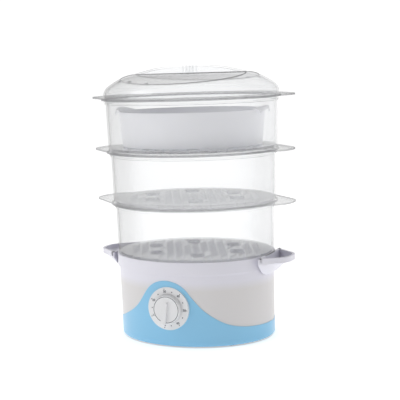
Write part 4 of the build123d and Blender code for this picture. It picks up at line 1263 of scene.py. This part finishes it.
class STEAMER_OT_tank(bpy.types.Operator):
    """Make the milky water tank with its collar and two filling pockets"""

    bl_idname = "steamer.tank"
    bl_label = "Water tank"

    def execute(self, context):
        base = sizes(context, "base")
        stack = sizes(context, "stack")
        collar = stack.base_top_half + base.collar_proud
        rim = stack.rim_height
        low_rim = rim - base.collar
        ledge = base.tray_ledge
        under = ledge - base.sheet
        floor = base.tank_floor
        ledge_half = base_half(stack, ledge) - base.wall
        bm = bmesh.new()
        rings = wall(bm, [
            (base_half(stack, floor) - base.wall, floor),
            (base_half(stack, under) - base.wall, under),
            (ledge_half - base.tray_step, under),
            (ledge_half - base.tray_step, ledge),
            (ledge_half, ledge),
            (stack.base_top_half - base.wall, rim),
            (collar, rim),
            (collar, low_rim),
            (base_half(stack, low_rim), low_rim),
            (base_half(stack, base.foot), base.foot),
            (base_half(stack, base.foot) - base.wall, base.foot),
            (base_half(stack, floor - base.sheet) - base.wall, floor - base.sheet),
        ], stack.plan_difference, points=BASE_POINTS, fineness=0.0)
        place = Matrix.Translation((0, 0, floor))
        hole = bmesh.ops.create_circle(
            bm, cap_ends=False, segments=HOLE_POINTS, radius=base.heater_hole, matrix=place,
        )
        upper = edges_of(hole["verts"])
        lower = extrude_edges(bm, upper, (0, 0, -base.sheet))
        fill(bm, rings[0] + upper)
        fill(bm, rings[-1] + edges_of(lower))
        soften(bm, [edge for ring in rings[5:8] for edge in ring], base.rim_round)
        for sign in (-1, 1):
            add_pocket(bm, base, stack, sign)
        make_piece(context, bm, "milky_tank", "milky_plastic", "base", ("water_tank",), 40.0)
        return {"FINISHED"}


class STEAMER_OT_skirt(bpy.types.Operator):
    """Make the blue skirt with its wave edge"""

    bl_idname = "steamer.skirt"
    bl_label = "Skirt"

    def execute(self, context):
        base = sizes(context, "base")
        stack = sizes(context, "stack")
        height = sizes(context, "dial").height
        bm = bmesh.new()
        feet = (base.skirt_proud - base.skirt_inset, -base.skirt_inset)
        outer, inner = (
            [
                self.add_ring(bm, base, stack, height, row, side if row else foot)
                for row in range(SKIRT_ROWS + 1)
            ]
            for side, foot in zip((base.skirt_proud, base.skirt_clearance), feet)
        )
        bridge(bm, outer)
        bridge(bm, inner)
        bridge(bm, (outer[-1], inner[-1]))
        bridge(bm, (outer[0], inner[0]))
        make_piece(context, bm, "blue_skirt", "blue_plastic", "base", ("lower_skirt",), 40.0)
        return {"FINISHED"}

    def add_ring(self, bm, base, stack, dial_height, row, proud):
        """One ring round the base, this far outside its wall, between the foot and the top edge."""
        edges = oval(bm, 1.0, 1.0, 0.0, BASE_POINTS, 0.0)
        for vert in points_in(edges):
            cosine, sine = vert.co.x, vert.co.y
            top = base.skirt_side
            if sine < 0:
                top = wave_height(base, dial_height, cosine * stack.base_foot_half)
            z = base.skirt_gap
            if row:
                z = base.skirt_foot + (top - base.skirt_foot) * (row - 1) / (SKIRT_ROWS - 1)
            half = base_half(stack, z) + proud
            vert.co = (half * cosine, (half - stack.plan_difference) * sine, z)
        return edges


# --- Dial ---

NUMBERS = 7
DISC_POINTS = 96
DOT_POINTS = 16
# Bar beside a number: length, thickness and width.
BAR = (1.4, 0.2, 0.9)
# How far the print stands in front of the plate, and how much bolder than its typeface it is.
PRINT_PROUD = 0.08
PRINT_BOLD = 0.09
# Corner radii of the knob's grip at its tail and at its tip, and how deep it starts in the knob.
TAIL_ROUND = 1.4
TIP_ROUND = 2.4
GRIP_ROOT = 1.0
# Width of the plain ring round the dark one on the knob, which is painted shadow of the gap round
# the knob.
KNOB_RING = 0.3


def disc(bm, radius, front, back, dial):
    """Round plate along Y between two distances in front of the middle."""
    middle = Vector((dial.offset, -(front + back) / 2, dial.height))
    return rod(bm, radius, front - back, Matrix.Translation(middle) @ UPRIGHT, DISC_POINTS)


def front_rim(verts, front):
    """Edges of a disc round its front face."""
    return edges_of([v for v in verts if v.is_valid and abs(v.co.y + front) < SAME_PLANE])


def inset(bm, faces, width):
    """Insets a region and gives back the new faces round it."""
    return bmesh.ops.inset_region(bm, faces=faces, thickness=width, use_even_offset=True)["faces"]


class STEAMER_OT_dial(bpy.types.Operator):
    """Make the dial plate with its marks and numbers"""

    bl_idname = "steamer.dial"
    bl_label = "Dial"

    def execute(self, context):
        dial = sizes(context, "dial")
        bm = bmesh.new()
        verts = disc(bm, dial.radius, dial.face, dial.back, dial)
        front = [f for f in bm.faces if f.normal.y < -0.9]
        inset(bm, front, dial.radius - dial.groove_radius)
        groove = inset(bm, front, dial.groove_width)
        extrude_faces(bm, groove, (0, dial.groove_depth, 0))
        bmesh.ops.delete(bm, geom=[f for f in groove if f.is_valid], context="FACES")
        soften(bm, front_rim(verts, dial.face), dial.edge, 4)
        make_piece(context, bm, "dial_plate", "white_plastic", "base", ("dial_bezel",))
        self.print_marks(context, dial)
        return {"FINISHED"}

    def print_marks(self, context, dial):
        """Bars, dots and numbers round the knob."""
        bm = bmesh.new()
        centre = Matrix.Translation((dial.offset, -dial.face - 0.06, dial.height))
        for index in range(NUMBERS):
            turn = dial.pointer - index * dial.step
            place = Matrix.Rotation(-turn, 4, "Y") @ Matrix.Translation((dial.bar_ring, 0, 0))
            bar = centre @ place @ Matrix.Diagonal((*BAR, 1))
            bmesh.ops.create_cube(bm, size=1.0, matrix=bar)
            if index:
                half_step = Matrix.Rotation(-turn + dial.step / 2, 4, "Y")
                dot = centre @ half_step @ Matrix.Translation((dial.number_ring, 0, 0)) @ UPRIGHT
                rod(bm, dial.dot_radius, BAR[1], dot, DOT_POINTS)
            text = bpy.data.curves.new("number", "FONT")
            text.body = str(index * 10)
            text.size = dial.number_size
            text.align_x = text.align_y = "CENTER"
            text.extrude = PRINT_PROUD
            text.offset = PRINT_BOLD
            text.resolution_u = 3
            place = Vector((math.cos(turn), 0, math.sin(turn))) * dial.number_ring
            place += Vector((dial.offset, -dial.face - PRINT_PROUD, dial.height))
            merge_curve(context, bm, text, Matrix.Translation(place) @ UPRIGHT)
        bmesh.ops.remove_doubles(bm, verts=bm.verts[:], dist=SAME_POINT)
        make_piece(context, bm, "dial_print", "mark_ink", "base", ("dial_marks",))


class STEAMER_OT_knob(bpy.types.Operator):
    """Make the timer knob with its pointer grip"""

    bl_idname = "steamer.knob"
    bl_label = "Knob"

    def execute(self, context):
        dial = sizes(context, "dial")
        back = dial.face + dial.knob_gap
        front = back + dial.knob_height
        bm = bmesh.new()
        verts = disc(bm, dial.knob_radius, front, back, dial)
        soften(bm, front_rim(verts, front), dial.knob_edge, 5)
        face = [
            f for f in bm.faces
            if f.normal.y < -0.99 and f.calc_center_median().y < KNOB_RING - front
        ]
        inset(bm, face, KNOB_RING)
        # A flat dark ring near the rim of the knob: painted shadow of the gap round it.
        for part in inset(bm, face, dial.knob_shadow_ring):
            part.material_index = GAP_SHADOW
        middle = Vector((dial.offset, GRIP_ROOT - front, dial.height))
        place = Matrix.Translation(middle) @ Matrix.Rotation(-dial.pointer, 4, "Y")
        tail, tip = dial.tail_width / 2, dial.tip_width / 2
        corners = ((-dial.tail, -tail), (dial.reach, -tip), (dial.reach, tip), (-dial.tail, tail))
        outline = [bm.verts.new(place @ Vector((x, 0, z))) for x, z in corners]
        bm.faces.new(outline)
        round_corners(bm, outline[0:1] + outline[3:4], TAIL_ROUND, 4)
        round_corners(bm, [v for v in outline[1:3] if v.is_valid], TIP_ROUND, 5)
        grip = [
            f for f in bm.faces
            if abs(f.calc_center_median().y + front - GRIP_ROOT) < SAME_PLANE
            and abs(f.normal.y) > 0.9
        ]
        top = extrude_faces(bm, grip, (0, -GRIP_ROOT - dial.grip_height, 0))
        soften(bm, list({e for f in top for e in f.edges}), dial.grip_round, 3)
        make_piece(
            context, bm, "knob_white", "white_plastic", "timer", ("timer_knob",),
            more=("groove_plastic",),
        )
        return {"FINISHED"}


# --- Pieces whose solids are shown as they are ---

PLAIN_NODES = {
    "milky_plastic": ("drip_tray", "steam_ring"),
    "black_plastic": ("bottom_cover", "cord_gland", "timer_switch"),
    "grey_plastic": ("timer_cam", "terminal_block", "timer_case"),
    "rubber": ("rubber_feet",),
    "seal_rubber": ("heater_seal",),
    "steel": (
        "cover_screws", "heater_screws", "heater_clamp", "timer_screws", "timer_plate",
        "timer_bell", "spring_barrel", "thermal_fuse", "thermostat",
    ),
    "stainless": ("heater_plate", "heating_element"),
    "brass": ("timer_shaft",),
    "wire_cover": ("inner_wires",),
}


class STEAMER_OT_fittings(bpy.types.Operator):
    """Give the inner works and small parts their finishes"""

    bl_idname = "steamer.fittings"
    bl_label = "Inner works and small parts"

    def execute(self, context):
        for slot, names in PLAIN_NODES.items():
            for name in names:
                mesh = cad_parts[name].data
                mesh.materials.clear()
                mesh.materials.append(finish_of(context, slot))
        return {"FINISHED"}


# --- Studio ---

# Places of the lights and the point that they face, in metres.
KEY_PLACE = (-1.8, -1.4, 1.5)
RIM_PLACE = (2.0, 0.9, 1.0)
AIM = Vector((0, 0, 0.2))
LIGHT_SIZE = 1.2
FLOOR_SIZE = 12.0
FLOOR_GLOW = 0.50
# Brightness of the room to the side, what it gains overhead and behind and loses towards the
# right, and its brightness where the camera looks straight at it.
ROOM_SIDE = 0.3
ROOM_OVERHEAD = 0.8
ROOM_BEHIND = 2.0
ROOM_RIGHT = 0.12
ROOM_SEEN = 1.1


class STEAMER_OT_studio(bpy.types.Operator):
    """Set up the camera, the floor and the soft lights"""

    bl_idname = "steamer.studio"
    bl_label = "Studio"

    def execute(self, context):
        scene = context.scene
        studio = scene.steamer_studio
        self.add_camera(context, studio)
        self.add_floor(context, studio)
        self.add_world(scene, studio)
        self.add_light(context, "key_light", KEY_PLACE, studio.key)
        self.add_light(context, "rim_light", RIM_PLACE, studio.rim)
        scene.view_settings.view_transform = "Standard"
        scene.view_settings.look = "None"
        scene.cycles.transparent_max_bounces = 48
        return {"FINISHED"}

    def add_camera(self, context, studio):
        """Camera in front and a little to the right."""
        data = bpy.data.cameras.new("camera")
        data.lens = studio.lens
        data.sensor_width = 36.0
        camera = add_object(context, "camera", data)
        turn = studio.camera_turn
        out = Vector((math.sin(turn), -math.cos(turn), 0)) * studio.camera_distance
        placed = Matrix.Translation(out + Vector((0, 0, studio.camera_height)))
        turns = (
            (turn, "Z"), (math.pi / 2, "X"), (-studio.camera_yaw, "Y"),
            (-studio.camera_pitch, "X"), (studio.camera_roll, "Z"),
        )
        for amount, axis in turns:
            placed = placed @ Matrix.Rotation(amount, 4, axis)
        camera.matrix_world = placed
        context.scene.camera = camera

    def add_floor(self, context, studio):
        """Plain pale floor."""
        bm = bmesh.new()
        bmesh.ops.create_grid(bm, x_segments=1, y_segments=1, size=FLOOR_SIZE)
        mesh = mesh_of("floor", bm)
        paint = Paint("floor")
        tone = paint.tint(paint.noise(3.0), shade(studio.floor, 0.995), shade(studio.floor, 1.005))
        surface = paint.node("ShaderNodeBsdfPrincipled", {
            "Base Color": tone, "Roughness": 0.9, "Specular IOR Level": 0.0,
            "Emission Color": (1.0, 1.0, 1.0, 1.0), "Emission Strength": FLOOR_GLOW,
        })
        mesh.materials.append(paint.finish(surface))
        floor = add_object(context, "floor", mesh)

    def add_world(self, scene, studio):
        """White room that is brightest behind and overhead, and dimmest towards the front."""
        paint = Paint("room", bpy.data.worlds.new("room"))
        direction = paint.node("ShaderNodeTexCoord", output="Generated")
        across, depth, height = (paint.axis(name, direction) for name in "XYZ")
        overhead = paint.maths("MULTIPLY", height, ROOM_OVERHEAD, True)
        behind = paint.maths("MULTIPLY", depth, ROOM_BEHIND, True)
        side = ROOM_SIDE + overhead + behind - ROOM_RIGHT * across
        seen = paint.node("ShaderNodeLightPath", output="Is Camera Ray")
        strength = studio.world * side * (1.0 - seen) + ROOM_SEEN * seen
        light = paint.node("ShaderNodeBackground", {"Color": (1, 1, 1, 1), "Strength": strength})
        scene.world = paint.finish(light)

    def add_light(self, context, name, place, power):
        """Soft square light aimed at the middle of the steamer."""
        data = bpy.data.lights.new(name, "AREA")
        data.size = LIGHT_SIZE
        data.energy = power
        turned = (AIM - Vector(place)).to_track_quat("-Z", "Y").to_matrix().to_4x4()
        add_object(context, name, data).matrix_world = Matrix.Translation(place) @ turned


# --- Panel and registration ---

OPERATORS = (
    STEAMER_OT_studio,
    STEAMER_OT_tank,
    STEAMER_OT_skirt,
    STEAMER_OT_dial,
    STEAMER_OT_knob,
    STEAMER_OT_baskets,
    STEAMER_OT_bowl,
    STEAMER_OT_lid,
    STEAMER_OT_fittings,
)


class STEAMER_PT_panel(bpy.types.Panel):
    """Lists the pieces with their sizes and colours"""

    bl_idname = "STEAMER_PT_panel"
    bl_label = "Food steamer"
    bl_space_type = "VIEW_3D"
    bl_region_type = "UI"
    bl_category = "Steamer"

    def draw(self, context):
        layout = self.layout
        for operator in OPERATORS:
            layout.operator(operator.bl_idname)
        for key in GROUPS:
            box = layout.box()
            box.label(text=key.capitalize())
            group = getattr(context.scene, "steamer_" + key)
            for name in group.bl_rna.properties.keys():
                if name not in {"rna_type", "name"}:
                    box.prop(group, name)


def register():
    """Registers the groups, the operators and the panel."""
    for key, group in GROUPS.items():
        bpy.utils.register_class(group)
        setattr(bpy.types.Scene, "steamer_" + key, PointerProperty(type=group))
    for cls in (*OPERATORS, STEAMER_PT_panel):
        bpy.utils.register_class(cls)


def unregister():
    """Takes everything back out."""
    for cls in (STEAMER_PT_panel, *reversed(OPERATORS)):
        bpy.utils.unregister_class(cls)
    for key, group in reversed(GROUPS.items()):
        delattr(bpy.types.Scene, "steamer_" + key)
        bpy.utils.unregister_class(group)


def main():
    """Builds the whole steamer."""
    register()
    for operator in OPERATORS:
        group, name = operator.bl_idname.split(".")
        getattr(getattr(bpy.ops, group), name)()


if __name__ == "__main__":
    main()
